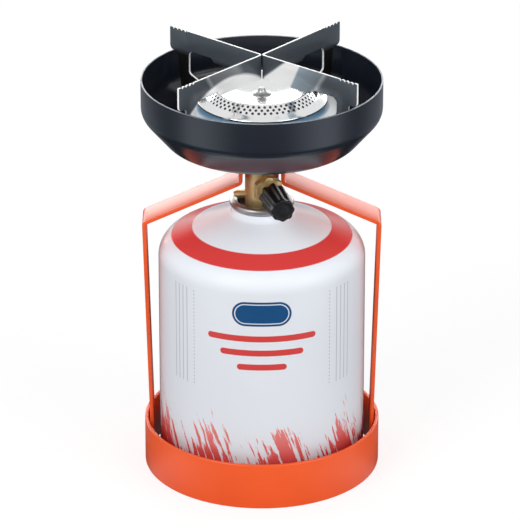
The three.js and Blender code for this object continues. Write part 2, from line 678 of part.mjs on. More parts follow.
// Burner cap with three staggered rows of gas ports in its steep band
// The sheet's outer face runs from the rim to the middle, and its inner face back
const capFace = asPoints([
  [CAP_R, CAP_RIM_Z - CAP_RIM_H],
  [CAP_R, CAP_RIM_Z],
  [CAP_BAND_FOOT_R, CAP_BAND_FOOT_Z],
  [CAP_BAND_HEAD_R, CAP_BAND_HEAD_Z],
  [CAP_CENTRE_R, CAP_CENTRE_Z],
  [RIVET_R + SEAT_GAP * 2, CAP_CENTRE_Z],
]);
const capBack = offset(capFace, CAP_T);
const rimSection = [...capBack.slice(0, 3).reverse(), ...capFace.slice(0, 3)];
const discSection = [...capFace.slice(3), ...capBack.slice(3).reverse()];

// One flat facet of the band: across is in facet widths, along runs from its foot to its head
function bandPoint(line, facet, across, along) {
  const turnA = 2 * Math.PI * facet / PORTS_PER_ROW;
  const turnB = 2 * Math.PI * (facet + 1) / PORTS_PER_ROW;
  const [foot, head] = [line[2], line[3]];
  const radius = THREE.MathUtils.lerp(foot.x, head.x, along);
  const x = THREE.MathUtils.lerp(Math.sin(turnA), Math.sin(turnB), across) * radius;
  const y = -THREE.MathUtils.lerp(Math.cos(turnA), Math.cos(turnB), across) * radius;
  return [x, y, THREE.MathUtils.lerp(foot.y, head.y, along)];
}

// Contour and port outlines of a facet, in shares of its width and length
const bandLength = capFace[2].distanceTo(capFace[3]);
const facetContour = asPoints([[0, 0], [1, 0], [1, 1], [0, 1]]);
const facetPorts = PORT_ROW_SHARES.map((along, row) => {
  const rowR = THREE.MathUtils.lerp(CAP_BAND_FOOT_R, CAP_BAND_HEAD_R, along);
  const width = 2 * rowR * Math.sin(Math.PI / PORTS_PER_ROW);
  const across = 1 / 4 + (row % 2) / 2;
  const outline = [];
  for (let i = 0; i < PORT_SIDES; i += 1) {
    const angle = -2 * Math.PI * i / PORT_SIDES;
    const side = across + PORT_R * Math.cos(angle) / width;
    outline.push(new THREE.Vector2(side, along + PORT_R * Math.sin(angle) / bandLength));
  }
  return outline;
});
const facetFaces = THREE.ShapeUtils.triangulateShape(facetContour, facetPorts);
const facetPoints = [...facetContour, ...facetPorts.flat()];
const bandCorners = [];
for (let facet = 0; facet < PORTS_PER_ROW; facet += 1) {
  const front = facetPoints.map((point) => bandPoint(capFace, facet, point.x, point.y));
  const back = facetPoints.map((point) => bandPoint(capBack, facet, point.x, point.y));
  for (const [a, b, c] of facetFaces) {
    bandCorners.push(front[a], front[b], front[c], back[a], back[c], back[b]);
  }
  facetPorts.forEach((outline, row) => {
    const first = facetContour.length + row * PORT_SIDES;
    for (let i = 0; i < PORT_SIDES; i += 1) {
      const here = first + i;
      const next = first + (i + 1) % PORT_SIDES;
      bandCorners.push(front[next], front[here], back[here], front[next], back[here], back[next]);
    }
  });
}
const band = new THREE.BufferGeometry();
band.setAttribute('position', new THREE.Float32BufferAttribute(bandCorners.flat(), 3));
const capPieces = [rimSection, discSection].map((line) => revolve(line, PORTS_PER_ROW).toNonIndexed());
place('burner_cap', tidy(mergeGeometries([...capPieces, band])), STEEL);

// Flared rivet in the middle of the cap
const capUnderZ = CAP_CENTRE_Z - CAP_T;
const rivetLine = asPoints([
  [0, capUnderZ - SEAT_GAP - RIVET_TAIL_H],
  [RIVET_TAIL_R, capUnderZ - SEAT_GAP - RIVET_TAIL_H],
  [RIVET_TAIL_R, capUnderZ - SEAT_GAP],
  [RIVET_R, capUnderZ - SEAT_GAP],
  [RIVET_R, CAP_CENTRE_Z + SEAT_GAP],
  [RIVET_HEAD_R, CAP_CENTRE_Z + SEAT_GAP],
  [RIVET_HEAD_R, CAP_CENTRE_Z + SEAT_GAP * 5],
  [(RIVET_HEAD_R + RIVET_TOP_R) / 2, THREE.MathUtils.lerp(CAP_CENTRE_Z, RIVET_TOP_Z, 1 / 3)],
  [RIVET_TOP_R, RIVET_TOP_Z],
  [0, RIVET_TOP_Z],
]);
place('cap_rivet', revolve(rivetLine, FACETS_SMALL), STEEL);

// Height of a line over the given radius
function heightAt(points, radius) {
  for (let i = 1; i < points.length; i += 1) {
    const [a, b] = [points[i - 1], points[i]];
    if (radius >= a.x && radius <= b.x) {
      return THREE.MathUtils.lerp(a.y, b.y, (radius - a.x) / (b.x - a.x));
    }
  }
  return points[0].y;
}

// One arm of a pan support in its own plane: radius along X, height along Z
// The window lies between the toothed top bar, the leg and the web that passes under the dish
const floorLine = offset(bowlLine, BOWL_T + FLOOR_GAP);
const legFootR = LEG_OUT_R - LEG_TAPER;
const armFloor = floorLine.filter((point) => point.x > WEB_IN_R && point.x < legFootR).reverse();
const teeth = [];
for (let i = TOOTH_COUNT - 1; i >= 0; i -= 1) {
  const toothR = SUPPORT_R - TOOTH_PITCH * (i + 1);
  teeth.push([toothR - TOOTH_W / 2, SUPPORT_TOP_Z]);
  teeth.push([toothR, SUPPORT_TOP_Z - TOOTH_DEPTH]);
  teeth.push([toothR + TOOTH_W / 2, SUPPORT_TOP_Z]);
}
const webFootZ = heightAt(floorLine, WEB_IN_R) + WEB_FOOT_H;
const webUnderDish = [WEB_SHOULDER_R - WEB_UNDER_GAP, WEB_SHOULDER_Z - WEB_DISH_GAP - WEB_UNDER_GAP];
const webBellyR = DISH_FLOOR_R + WEB_DISH_GAP * 2;
const webBellyZ = heightAt(dishLine, webBellyR) - WEB_FOOT_H;
function armLine(startR) {
  return rounded([
    [startR, BAR_UNDER_MID_Z],
    [startR, SUPPORT_TOP_Z],
    ...teeth,
    [SUPPORT_R, SUPPORT_TOP_Z],
    [SUPPORT_R, TIP_Z, TIP_ROUND],
    [LEG_OUT_R, TIP_Z, TIP_ROUND / 2],
    [legFootR, heightAt(floorLine, legFootR)],
    ...armFloor.map((point) => [point.x, point.y]),
    [WEB_IN_R, heightAt(floorLine, WEB_IN_R)],
    [WEB_IN_R, webFootZ],
    [webBellyR, webBellyZ],
    webUnderDish,
    [WEB_SHOULDER_R, WEB_SHOULDER_Z],
    [LEG_IN_R, WEB_SHOULDER_Z + WEB_SLOPE_RISE],
    [LEG_IN_R, BAR_UNDER_Z, LEG_TOP_ROUND],
    [BAR_STEP_R + BAR_STEP_W / 2, BAR_UNDER_Z],
    [BAR_STEP_R - BAR_STEP_W / 2, BAR_UNDER_MID_Z],
    [startR, BAR_UNDER_MID_Z],
  ]).slice(0, -1).reverse();
}

// An arm's blade and its foot, bent flat under the lock washer
const footZ = bowlFloorZ + SEAT_GAP;
function armPieces(azimuth, startR) {
  const blade = plate(armLine(startR), SHEET_T);
  const foot = new THREE.BoxGeometry(FOOT_OUT_R - FOOT_IN_R, FOOT_W, SHEET_T);
  foot.translate((FOOT_IN_R + FOOT_OUT_R) / 2, (FOOT_W - SHEET_T) / 2, footZ + SHEET_T / 2);
  return [blade, foot].map((piece) => piece.rotateZ(azimuth));
}

// The bend that joins the top bars of two arms, with its centre inside the V
function foldBend(azimuthA, azimuthB) {
  const halfAngle = (azimuthB - azimuthA) / 2;
  const centreR = FOLD_R / Math.sin(halfAngle);
  const arc = (radius) => {
    const points = [];
    for (let k = 0; k <= FOLD_STEPS; k += 1) {
      const turn = THREE.MathUtils.lerp(azimuthB + Math.PI / 2, azimuthA + Math.PI * 3 / 2, k / FOLD_STEPS);
      points.push(new THREE.Vector2(radius * Math.cos(turn), radius * Math.sin(turn)));
    }
    return points;
  };
  const section = [...arc(FOLD_R + SHEET_T / 2), ...arc(FOLD_R - SHEET_T / 2).reverse()];
  const bend = new THREE.ExtrudeGeometry(new THREE.Shape(section), {
    depth: SUPPORT_TOP_Z - BAR_UNDER_MID_Z,
    bevelEnabled: false,
  });
  const middle = azimuthA + halfAngle;
  bend.translate(centreR * Math.cos(middle), centreR * Math.sin(middle), BAR_UNDER_MID_Z);
  return bend;
}

function panSupport(name, azimuthsDeg, shiftX) {
  const [azimuthA, azimuthB] = azimuthsDeg.map(THREE.MathUtils.degToRad);
  const startR = FOLD_R / Math.tan((azimuthB - azimuthA) / 2) - SEAT_GAP;
  const pieces = [
    ...armPieces(azimuthA, startR),
    ...armPieces(azimuthB, startR),
    foldBend(azimuthA, azimuthB),
  ];
  place(name, join(pieces).translate(shiftX, 0, 0), STEEL);
}
panSupport('pan_support_left', LEFT_SHEET_DEG, -FOLD_SHIFT);
panSupport('pan_support_right', RIGHT_SHEET_DEG, FOLD_SHIFT);

// Cartridge body: straight wall, bent shoulder, cone and neck
const canFootZ = CAN_FLOOR_Z + CAN_SEAM_H + SEAT_GAP;
const canLine = rounded([
  [CAN_R, canFootZ],
  [CAN_R, CAN_SHOULDER_Z, CAN_SHOULDER_BEND],
  [CAN_NECK_R, CAN_NECK_BASE_Z, CAN_NECK_BEND],
  [CAN_NECK_R, CAN_NECK_TOP_Z],
]);
place('can_body', revolve(sheetSection(canLine, CAN_T), FACETS_LARGE), WHITE_PAINT);

// Cartridge bottom: a rolled seam round a domed floor
const seamInR = CAN_R - CAN_SEAM_T;
const domeFoot = [seamInR - CAN_SEAM_T, CAN_FLOOR_Z + CAN_SEAM_H / 2];
const bottomLine = [
  [0, domeFoot[1] + CAN_DOME_RISE],
  [CAN_R / 2, domeFoot[1] + CAN_DOME_RISE * 3 / 4],
  domeFoot,
  [seamInR, CAN_FLOOR_Z + CAN_SEAM_H / 2],
  [seamInR, CAN_FLOOR_Z + CAN_T / 2],
  [seamInR + CAN_T / 2, CAN_FLOOR_Z],
  [CAN_R - CAN_T / 2, CAN_FLOOR_Z],
  [CAN_R, CAN_FLOOR_Z + CAN_T / 2],
  [CAN_R, CAN_FLOOR_Z + CAN_SEAM_H],
  [seamInR, CAN_FLOOR_Z + CAN_SEAM_H],
  [domeFoot[0], domeFoot[1] + CAN_T],
  [CAN_R / 2, domeFoot[1] + CAN_DOME_RISE * 3 / 4 + CAN_T],
  [0, domeFoot[1] + CAN_DOME_RISE + CAN_T],
];
place('can_bottom', revolve(asPoints(bottomLine), FACETS_LARGE), STEEL);

// Valve cup with the threaded nipple
const cupUnderZ = CUP_FLOOR_Z - CUP_T;
const curlUnderZ = CAN_NECK_TOP_Z + SEAT_GAP * 2;
const cupLine = asPoints([
  [NIPPLE_BORE_R, cupUnderZ],
  [CUP_WALL_R + CUP_T - CUP_EDGE, cupUnderZ],
  [CUP_WALL_R + CUP_T, cupUnderZ + CUP_EDGE],
  [CUP_WALL_R + CUP_T, curlUnderZ],
  [CUP_CURL_R - CUP_EDGE / 2, curlUnderZ],
  [CUP_CURL_R, curlUnderZ + CUP_EDGE / 2],
  [CUP_CURL_R, CUP_TOP_Z - CUP_EDGE],
  [CUP_CURL_R - CUP_EDGE / 3, CUP_TOP_Z - CUP_EDGE / 3],
  [CUP_CURL_R - CUP_EDGE, CUP_TOP_Z],
  [CUP_WALL_R + CUP_EDGE, CUP_TOP_Z],
  [CUP_WALL_R + CUP_EDGE / 3, CUP_TOP_Z - CUP_EDGE / 3],
  [CUP_WALL_R, CUP_TOP_Z - CUP_EDGE],
  [CUP_WALL_R, CUP_FLOOR_Z + CUP_EDGE],
  [CUP_WALL_R - CUP_EDGE, CUP_FLOOR_Z],
  [NIPPLE_R, CUP_FLOOR_Z],
  [NIPPLE_R, NIPPLE_TOP_Z - CUP_EDGE / 2],
  [NIPPLE_R - CUP_EDGE / 2, NIPPLE_TOP_Z],
  [NIPPLE_BORE_R, NIPPLE_TOP_Z],
  [NIPPLE_BORE_R, cupUnderZ],
]);
place('mounting_cup', revolve(cupLine, FACETS_MEDIUM), STEEL);
const gasketIn = CUP_WALL_R + CUP_T + SEAT_GAP;
const gasketOut = CAN_NECK_R - CAN_T - SEAT_GAP;
const gasketTop = CAN_NECK_TOP_Z;
const neckGasket = washerSection(gasketIn, gasketOut, CAN_NECK_BASE_Z + CAN_NECK_BEND / 2, gasketTop);
place('cup_gasket', revolve(neckGasket, FACETS_MEDIUM), DARK_RUBBER);

// Valve housing, stem seal, stem and spring inside the cartridge
const sealTopZ = cupUnderZ - SEAT_GAP;
const sealUnderZ = sealTopZ - STEM_SEAL_T;
const housingFloorTopZ = HOUSING_FLOOR_Z + HOUSING_FLOOR_T;
const housingLine = asPoints([
  [HOUSING_R, HOUSING_FLOOR_Z],
  [HOUSING_R, sealTopZ],
  [STEM_SEAL_R + SEAT_GAP, sealTopZ],
  [STEM_SEAL_R + SEAT_GAP, sealUnderZ - SEAT_GAP],
  [HOUSING_BORE_R, sealUnderZ - SEAT_GAP],
  [HOUSING_BORE_R, housingFloorTopZ],
  [HOUSING_PORT_R, housingFloorTopZ],
  [HOUSING_PORT_R, HOUSING_FLOOR_Z],
  [HOUSING_R, HOUSING_FLOOR_Z],
]);
place('valve_housing', revolve(housingLine, FACETS_SMALL), GREY_PLASTIC);
const stemSeal = washerSection(STEM_R + SLIDE_GAP, STEM_SEAL_R, sealUnderZ, sealTopZ);
place('stem_gasket', revolve(stemSeal, FACETS_SMALL), DARK_RUBBER);
const flangeTopZ = sealUnderZ - SEAT_GAP;
const stemTailZ = flangeTopZ - STEM_FLANGE_T - STEM_TAIL_L;
const stemLine = asPoints([
  [0, stemTailZ],
  [STEM_R, stemTailZ],
  [STEM_R, flangeTopZ - STEM_FLANGE_T],
  [STEM_FLANGE_R, flangeTopZ - STEM_FLANGE_T],
  [STEM_FLANGE_R, flangeTopZ],
  [STEM_R, flangeTopZ],
  [STEM_R, PIN_TIP_Z - STEM_TIP_GAP],
  [0, PIN_TIP_Z - STEM_TIP_GAP],
]);
place('valve_stem', revolve(stemLine, FACETS_SMALL), STEEL);

class Helix extends THREE.Curve {
  getPoint(t, target = new THREE.Vector3()) {
    const low = housingFloorTopZ + SPRING_WIRE_R + SEAT_GAP;
    const high = flangeTopZ - STEM_FLANGE_T - SPRING_WIRE_R - SEAT_GAP;
    const angle = 2 * Math.PI * SPRING_TURNS * t;
    return target.set(SPRING_R * Math.cos(angle), SPRING_R * Math.sin(angle), low + (high - low) * t);
  }
}
const wire = [];
for (let i = 0; i < WIRE_SIDES; i += 1) {
  const angle = 2 * Math.PI * i / WIRE_SIDES;
  wire.push(new THREE.Vector2(SPRING_WIRE_R * Math.cos(angle), SPRING_WIRE_R * Math.sin(angle)));
}
const spring = new THREE.ExtrudeGeometry(new THREE.Shape(wire), {
  steps: SPRING_TURNS * SPRING_STEPS,
  extrudePath: new Helix(),
  bevelEnabled: false,
});
place('stem_spring', tidy(spring), STEEL);

export default stove;
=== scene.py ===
# Looks for the portable gas stove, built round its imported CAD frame.
# Metres, +Z up, -Y is the front. Profiles are written in millimetres and scaled by MM.
from math import atan2, cos, hypot, pi, radians, sin, tan

import bmesh
import bpy
from mathutils import Matrix, Vector


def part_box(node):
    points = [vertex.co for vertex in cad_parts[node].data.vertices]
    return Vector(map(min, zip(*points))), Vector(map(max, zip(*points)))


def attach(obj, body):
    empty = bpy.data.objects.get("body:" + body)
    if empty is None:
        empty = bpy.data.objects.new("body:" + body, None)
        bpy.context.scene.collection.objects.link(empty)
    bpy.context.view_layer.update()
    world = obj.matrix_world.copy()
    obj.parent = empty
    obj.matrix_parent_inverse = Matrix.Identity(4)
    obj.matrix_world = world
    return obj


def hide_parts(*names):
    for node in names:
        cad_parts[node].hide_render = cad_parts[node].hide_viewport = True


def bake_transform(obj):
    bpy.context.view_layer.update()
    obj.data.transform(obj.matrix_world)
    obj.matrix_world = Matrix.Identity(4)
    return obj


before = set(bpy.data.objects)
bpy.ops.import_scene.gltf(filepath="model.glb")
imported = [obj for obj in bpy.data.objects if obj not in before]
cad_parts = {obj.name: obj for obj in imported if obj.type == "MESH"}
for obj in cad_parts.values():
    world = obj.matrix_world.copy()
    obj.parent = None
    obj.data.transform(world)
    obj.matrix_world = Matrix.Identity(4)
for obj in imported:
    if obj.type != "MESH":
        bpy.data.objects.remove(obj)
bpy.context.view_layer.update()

MM = 0.001
TURN = 2 * pi
ARC_STEPS = 8
FINE_STEPS = 144
SMALL_STEPS = 72
SEAT_GAP = 0.05
AXIS_R = 1e-6
Z_TO_FRONT = Matrix.Rotation(pi / 2, 4, "X")


def reach(node):
    """Radius to the right of the axis, lowest and highest height of a CAD node, in millimetres."""
    low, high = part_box(node)
    return high.x / MM, low.z / MM, high.z / MM


# Camera at the photograph's viewing angle
CAMERA_AT = (0.0, -1.9769, 0.9971)
CAMERA_TILT_DEG = 65.93
CAMERA_YAW_DEG = 0.0277
CAMERA_LENS = 286.86
SENSOR_W = 36.0

scene = bpy.context.scene


def linked(name, data):
    """A new object in the scene."""
    item = bpy.data.objects.new(name, data)
    scene.collection.objects.link(item)
    return item


camera_data = bpy.data.cameras.new("camera")
camera_data.lens = CAMERA_LENS
camera_data.sensor_width = SENSOR_W
camera = linked("camera", camera_data)
camera.location = CAMERA_AT
camera.rotation_euler = (radians(CAMERA_TILT_DEG), 0, radians(CAMERA_YAW_DEG))
scene.camera = camera


# Outlines and profiles, in millimetres
def heading(angle):
    """A level unit vector."""
    return Vector((cos(angle), sin(angle), 0))


def rounded(corners, closed=False, steps=ARC_STEPS):
    """A line whose corners (x, y, radius) are rounded."""
    line = []
    count = len(corners)
    for i, corner in enumerate(corners):
        here = Vector(corner[:2])
        radius = corner[2] if len(corner) > 2 else 0
        if not radius or (not closed and i in (0, count - 1)):
            line.append(here)
            continue
        back = (Vector(corners[i - 1][:2]) - here).normalized()
        ahead = (Vector(corners[(i + 1) % count][:2]) - here).normalized()
        half = back.angle(ahead) / 2
        start = here + back * radius / tan(half)
        end = here + ahead * radius / tan(half)
        centre = here + (back + ahead).normalized() * radius / sin(half)
        first, last = start - centre, end - centre
        turn = atan2(first.x * last.y - first.y * last.x, first.dot(last))
        for k in range(steps + 1):
            line.append(centre + Matrix.Rotation(turn * k / steps, 2) @ first)
    return line


def offset_line(points, distance):
    """The line moved sideways to its left, with mitred corners."""
    moved = []
    for i, point in enumerate(points):
        before = points[max(i - 1, 0)]
        after = points[min(i + 1, len(points) - 1)]
        first = (point - before) if i else (after - point)
        second = (after - point) if i < len(points) - 1 else (point - before)
        first.normalize()
        second.normalize()
        normal_a = Vector((-first.y, first.x))
        normal_b = Vector((-second.y, second.x))
        mitre = (normal_a + normal_b).normalized()
        moved.append(point + mitre * distance / mitre.dot(normal_a))
    return moved


def sheet_section(line, thickness):
    """A closed section between a line and its offset."""
    return line + offset_line(line, thickness)[::-1]


def height_at(line, radius):
    """Height of a profile over a radius."""
    for a, b in zip(line, line[1:]):
        if a.x <= radius <= b.x and b.x > a.x:
            return a.y + (b.y - a.y) * (radius - a.x) / (b.x - a.x)
    return line[0].y


def box_section(inner, outer, low, high, edge):
    """A ring's section with rounded edges."""
    corners = [(inner, low, edge), (outer, low, edge), (outer, high, edge), (inner, high, edge)]
    return rounded(corners, True, 3)


# Mesh building
def lathe(profile, steps=FINE_STEPS, closed=True, shape=None):
    """Turns a profile of (radius, height) about Z. shape(angle, radius, height) may change the radius."""
    mesh = bmesh.new()
    rings = []
    for point in profile:
        radius, height = point[0], point[1]
        if radius < AXIS_R:
            rings.append([mesh.verts.new((0, 0, height * MM))])
            continue
        ring = []
        for k in range(steps):
            angle = TURN * k / steps
            r = shape(angle, radius, height) if shape else radius
            ring.append(mesh.verts.new((r * cos(angle) * MM, r * sin(angle) * MM, height * MM)))
        rings.append(ring)
    pairs = list(zip(rings, rings[1:]))
    if closed:
        pairs.append((rings[-1], rings[0]))
    for low, high in pairs:
        for k in range(steps):
            n = (k + 1) % steps
            if len(low) == 1:
                mesh.faces.new((low[0], high[n], high[k]))
            elif len(high) == 1:
                mesh.faces.new((low[k], low[n], high[0]))
            else:
                mesh.faces.new((low[k], low[n], high[n], high[k]))
    bmesh.ops.recalc_face_normals(mesh, faces=mesh.faces)
    return mesh


def extrude(outline, low, high):
    """A plate with the outline in X and Y, from one height to another."""
    mesh = bmesh.new()
    face = mesh.faces.new([mesh.verts.new((p[0] * MM, p[1] * MM, low * MM)) for p in outline])
    grown = bmesh.ops.extrude_face_region(mesh, geom=[face])["geom"]
    lift = Vector((0, 0, (high - low) * MM))
    bmesh.ops.translate(mesh, verts=[g for g in grown if isinstance(g, bmesh.types.BMVert)], vec=lift)
    bmesh.ops.recalc_face_normals(mesh, faces=mesh.faces)
    return mesh


def to_object(name, mesh):
    data = bpy.data.meshes.new(name)
    mesh.to_mesh(data)
    mesh.free()
    return linked(name, data)


def bar(name, radius, low, high):
    """A round bar about Z."""
    return to_object(name, lathe([(0, low), (radius, low), (radius, high), (0, high)], SMALL_STEPS, False))


def apply_modifiers(piece):
    shape = piece.evaluated_get(bpy.context.evaluated_depsgraph_get())
    data = bpy.data.meshes.new_from_object(shape)
    piece.modifiers.clear()
    old = piece.data
    piece.data = data
    bpy.data.meshes.remove(old)
    data.name = piece.name


def combine(piece, other, operation):
    """Adds the other solid to a piece, or cuts it out."""
    modifier = piece.modifiers.new("combine", "BOOLEAN")
    modifier.operation = operation
    modifier.solver = "EXACT"
    modifier.object = other
    apply_modifiers(piece)
    bpy.data.objects.remove(other)


def soften(piece, width, segments, angle_deg=35, finish=-1):
    """Rounds the sharp edges; finish is the material's place in the list for the rounded strips."""
    modifier = piece.modifiers.new("soften", "BEVEL")
    modifier.width = width * MM
    modifier.segments = segments
    modifier.limit_method = "ANGLE"
    modifier.angle_limit = radians(angle_deg)
    modifier.material = finish
    apply_modifiers(piece)


def thicken(piece, thickness, side, inner_finish, *materials):
    """Gives a sheet its thickness, on both sides at 0 and behind its face at -1."""
    modifier = piece.modifiers.new("thicken", "SOLIDIFY")
    modifier.thickness = thickness * MM
    modifier.offset = side
    modifier.material_offset = inner_finish
    modifier.material_offset_rim = 1
    for material in materials:
        piece.data.materials.append(material)
    apply_modifiers(piece)


def smooth(piece, sharp_deg):
    """Smooth shading, with edges sharper than the angle kept."""
    mesh = bmesh.new()
    mesh.from_mesh(piece.data)
    for face in mesh.faces:
        face.smooth = True
    for edge in mesh.edges:
        if len(edge.link_faces) == 2:
            edge.smooth = edge.calc_face_angle(0) < radians(sharp_deg)
    mesh.to_mesh(piece.data)
    mesh.free()


def dress(piece, body, slot, *materials, stands_for, sharp_deg=38):
    """Gives a piece its materials, its shading, its body and the CAD nodes that it stands for."""
    kept = [polygon.material_index for polygon in piece.data.polygons]
    piece.data.materials.clear()
    for material in materials:
        piece.data.materials.append(material)
    for polygon, index in zip(piece.data.polygons, kept):
        polygon.material_index = index
    smooth(piece, sharp_deg)
    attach(piece, body)
    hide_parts(*stands_for)


# Materials: small builders for node trees, with coordinates in metres at rest
class Tree:
    def __init__(self, tree):
        self.tree = tree
        tree.nodes.clear()

    def put(self, socket, value):
        """Links a socket to another one, or sets its value."""
        if isinstance(value, bpy.types.NodeSocket):
            self.tree.links.new(value, socket)
        else:
            socket.default_value = value

    def node(self, kind, **values):
        node = self.tree.nodes.new(kind)
        for name, value in values.items():
            self.put(node.inputs[name.replace("_", " ")], value)
        return node

    def math(self, operation, *values):
        node = self.tree.nodes.new("ShaderNodeMath")
        node.operation = operation
        for socket, value in zip(node.inputs, values):
            self.put(socket, value)
        return node.outputs[0]

    def range(self, value, from_low, from_high, to_low=0.0, to_high=1.0, soft=False):
        node = self.node("ShaderNodeMapRange", Value=value, From_Min=from_low, From_Max=from_high,
                         To_Min=to_low, To_Max=to_high)
        node.interpolation_type = "SMOOTHSTEP" if soft else "LINEAR"
        return node.outputs["Result"]

    def mix(self, factor, first, second):
        """The first shader where the factor is 0, the second where it is 1."""
        node = self.tree.nodes.new("ShaderNodeMixShader")
        for socket, value in zip(node.inputs, (factor, first, second)):
            self.put(socket, value)
        return node.outputs[0]


class Finish(Tree):
    def __init__(self, name, **values):
        self.material = bpy.data.materials.new(name)
        self.material.use_nodes = True
        super().__init__(self.material.node_tree)
        self.surface = self.node("ShaderNodeBsdfPrincipled", **values)
        self.output = self.node("ShaderNodeOutputMaterial", Surface=self.surface.outputs[0])
        self.place = self.node("ShaderNodeTexCoord").outputs["Object"]
        self.x, self.y, self.z = self.node("ShaderNodeSeparateXYZ", Vector=self.place).outputs

    def feed(self, name, value):
        self.tree.links.new(value, self.surface.inputs[name])

    def noise(self, scale, detail, vector=None, roughness=0.5):
        node = self.node("ShaderNodeTexNoise", Vector=vector or self.place, Scale=scale, Detail=detail,
                         Roughness=roughness)
        return node.outputs["Fac"]

    def stretched(self, *scales):
        return self.node("ShaderNodeMapping", Vector=self.place, Scale=scales).outputs["Vector"]

    def ramp(self, factor, *stops):
        """Colours along a factor; one number stands for a grey."""
        node = self.node("ShaderNodeValToRGB", Fac=factor)
        elements = node.color_ramp.elements
        while len(elements) < len(stops):
            elements.new(0.5)
        for element, (position, colour) in zip(elements, stops):
            element.position = position
            element.color = (*colour, 1) if isinstance(colour, tuple) else (colour, colour, colour, 1)
        return node.outputs["Color"]

    def blend(self, factor, first, second):
        node = self.tree.nodes.new("ShaderNodeMix")
        node.data_type = "RGBA"
        sockets = (node.inputs["Factor"], node.inputs[6], node.inputs[7])
        for socket, value in zip(sockets, (factor, first, second)):
            self.put(socket, (*value, 1) if isinstance(value, tuple) else value)
        return node.outputs[2]

    def product(self, *values):
        """All values multiplied."""
        result = values[0]
        for value in values[1:]:
            result = self.math("MULTIPLY", result, value)
        return result

    def far(self, a, b):
        """Distance from zero of two measures at a right angle."""
        return self.math("SQRT", self.math("ADD", self.product(a, a), self.product(b, b)))

    def radius(self):
        return self.far(self.x, self.y)

    def facing_up(self):
        """From -1 where the surface faces down to 1 where it faces up."""
        return self.node("ShaderNodeSeparateXYZ", Vector=self.place.node.outputs["Normal"]).outputs["Z"]

    def rings(self, scale):
        """Fine turned rings about the axis."""
        outward = self.node("ShaderNodeCombineXYZ", X=self.product(self.radius(), scale))
        return self.noise(1.0, 3, outward.outputs[0])

    def relief(self, height, distance, strength):
        bump = self.node("ShaderNodeBump", Height=height, Distance=distance, Strength=strength)
        self.feed("Normal", bump.outputs["Normal"])


def speckled(name, colour_noise, dark, light, rough_noise, rough, grain=None, **values):
    """A finish with a wandering colour and roughness; each noise is (scale, detail)."""
    f = Finish(name, **values)
    f.feed("Base Color", f.ramp(f.noise(*colour_noise), (0.3, dark), (0.7, light)))
    f.feed("Roughness", f.range(f.noise(*rough_noise), 0.3, 0.7, *rough))
    if grain:
        scale, detail, distance, strength = grain
        f.relief(f.noise(scale, detail), distance, strength)
    return f.material


def orange_coat():
    f = Finish("orange_coat", Specular_IOR_Level=0.45, Coat_Weight=0.12, Coat_Roughness=0.15)
    f.feed("Base Color", f.ramp(f.noise(38, 3), (0.3, (0.83, 0.092, 0.012)), (0.7, (0.87, 0.102, 0.015))))
    upward = f.range(f.facing_up(), 0.5, 0.8, soft=True)
    speckle = f.range(f.noise(260, 3), 0.2, 0.8, 0.28, 0.32)
    f.feed("Roughness", f.math("MULTIPLY_ADD", upward, 0.12, speckle))
    f.relief(f.noise(700, 2), 0.000003, 0.15)
    return f.material


def black_coat():
    f = Finish("black_coat", Specular_IOR_Level=0.5, Coat_Weight=0.1, Coat_Roughness=0.15)
    tint = f.ramp(f.noise(16, 2), (0.35, (0.009, 0.014, 0.021)), (0.65, (0.013, 0.016, 0.025)))
    # Painted sheen: a lighter teal-grey on the middle of the lower slope
    underside = f.range(f.facing_up(), -0.5, -0.64, soft=True)
    inward = f.range(f.math("ABSOLUTE", f.x), 0.036, 0.022, soft=True)
    f.feed("Base Color", f.blend(f.product(underside, inward), tint, (0.010, 0.040, 0.050)))
    f.feed("Roughness", f.range(f.noise(420, 3), 0.2, 0.8, 0.2, 0.25))
    f.relief(f.noise(1300, 3), 0.0000015, 0.15)
    return f.material


# Zones of painted shade and painted reflections on the supports, in metres
SHADE_ABOVE_RIM = 0.0024
SHADE_FULL_BELOW = 0.0006
STRIPE_H = 0.0125
STRIPE_NEAR_R = 0.015
STRIPE_FAR_R = (0.019, 0.0248)
ARCH_R = 0.025
ARCH_BEND = 12.8
ARCH_DROPS = (0.0038, 0.0056)
HAZE_H = 0.024
HAZE_NEAR_R = 0.015
HAZE_W = 0.03


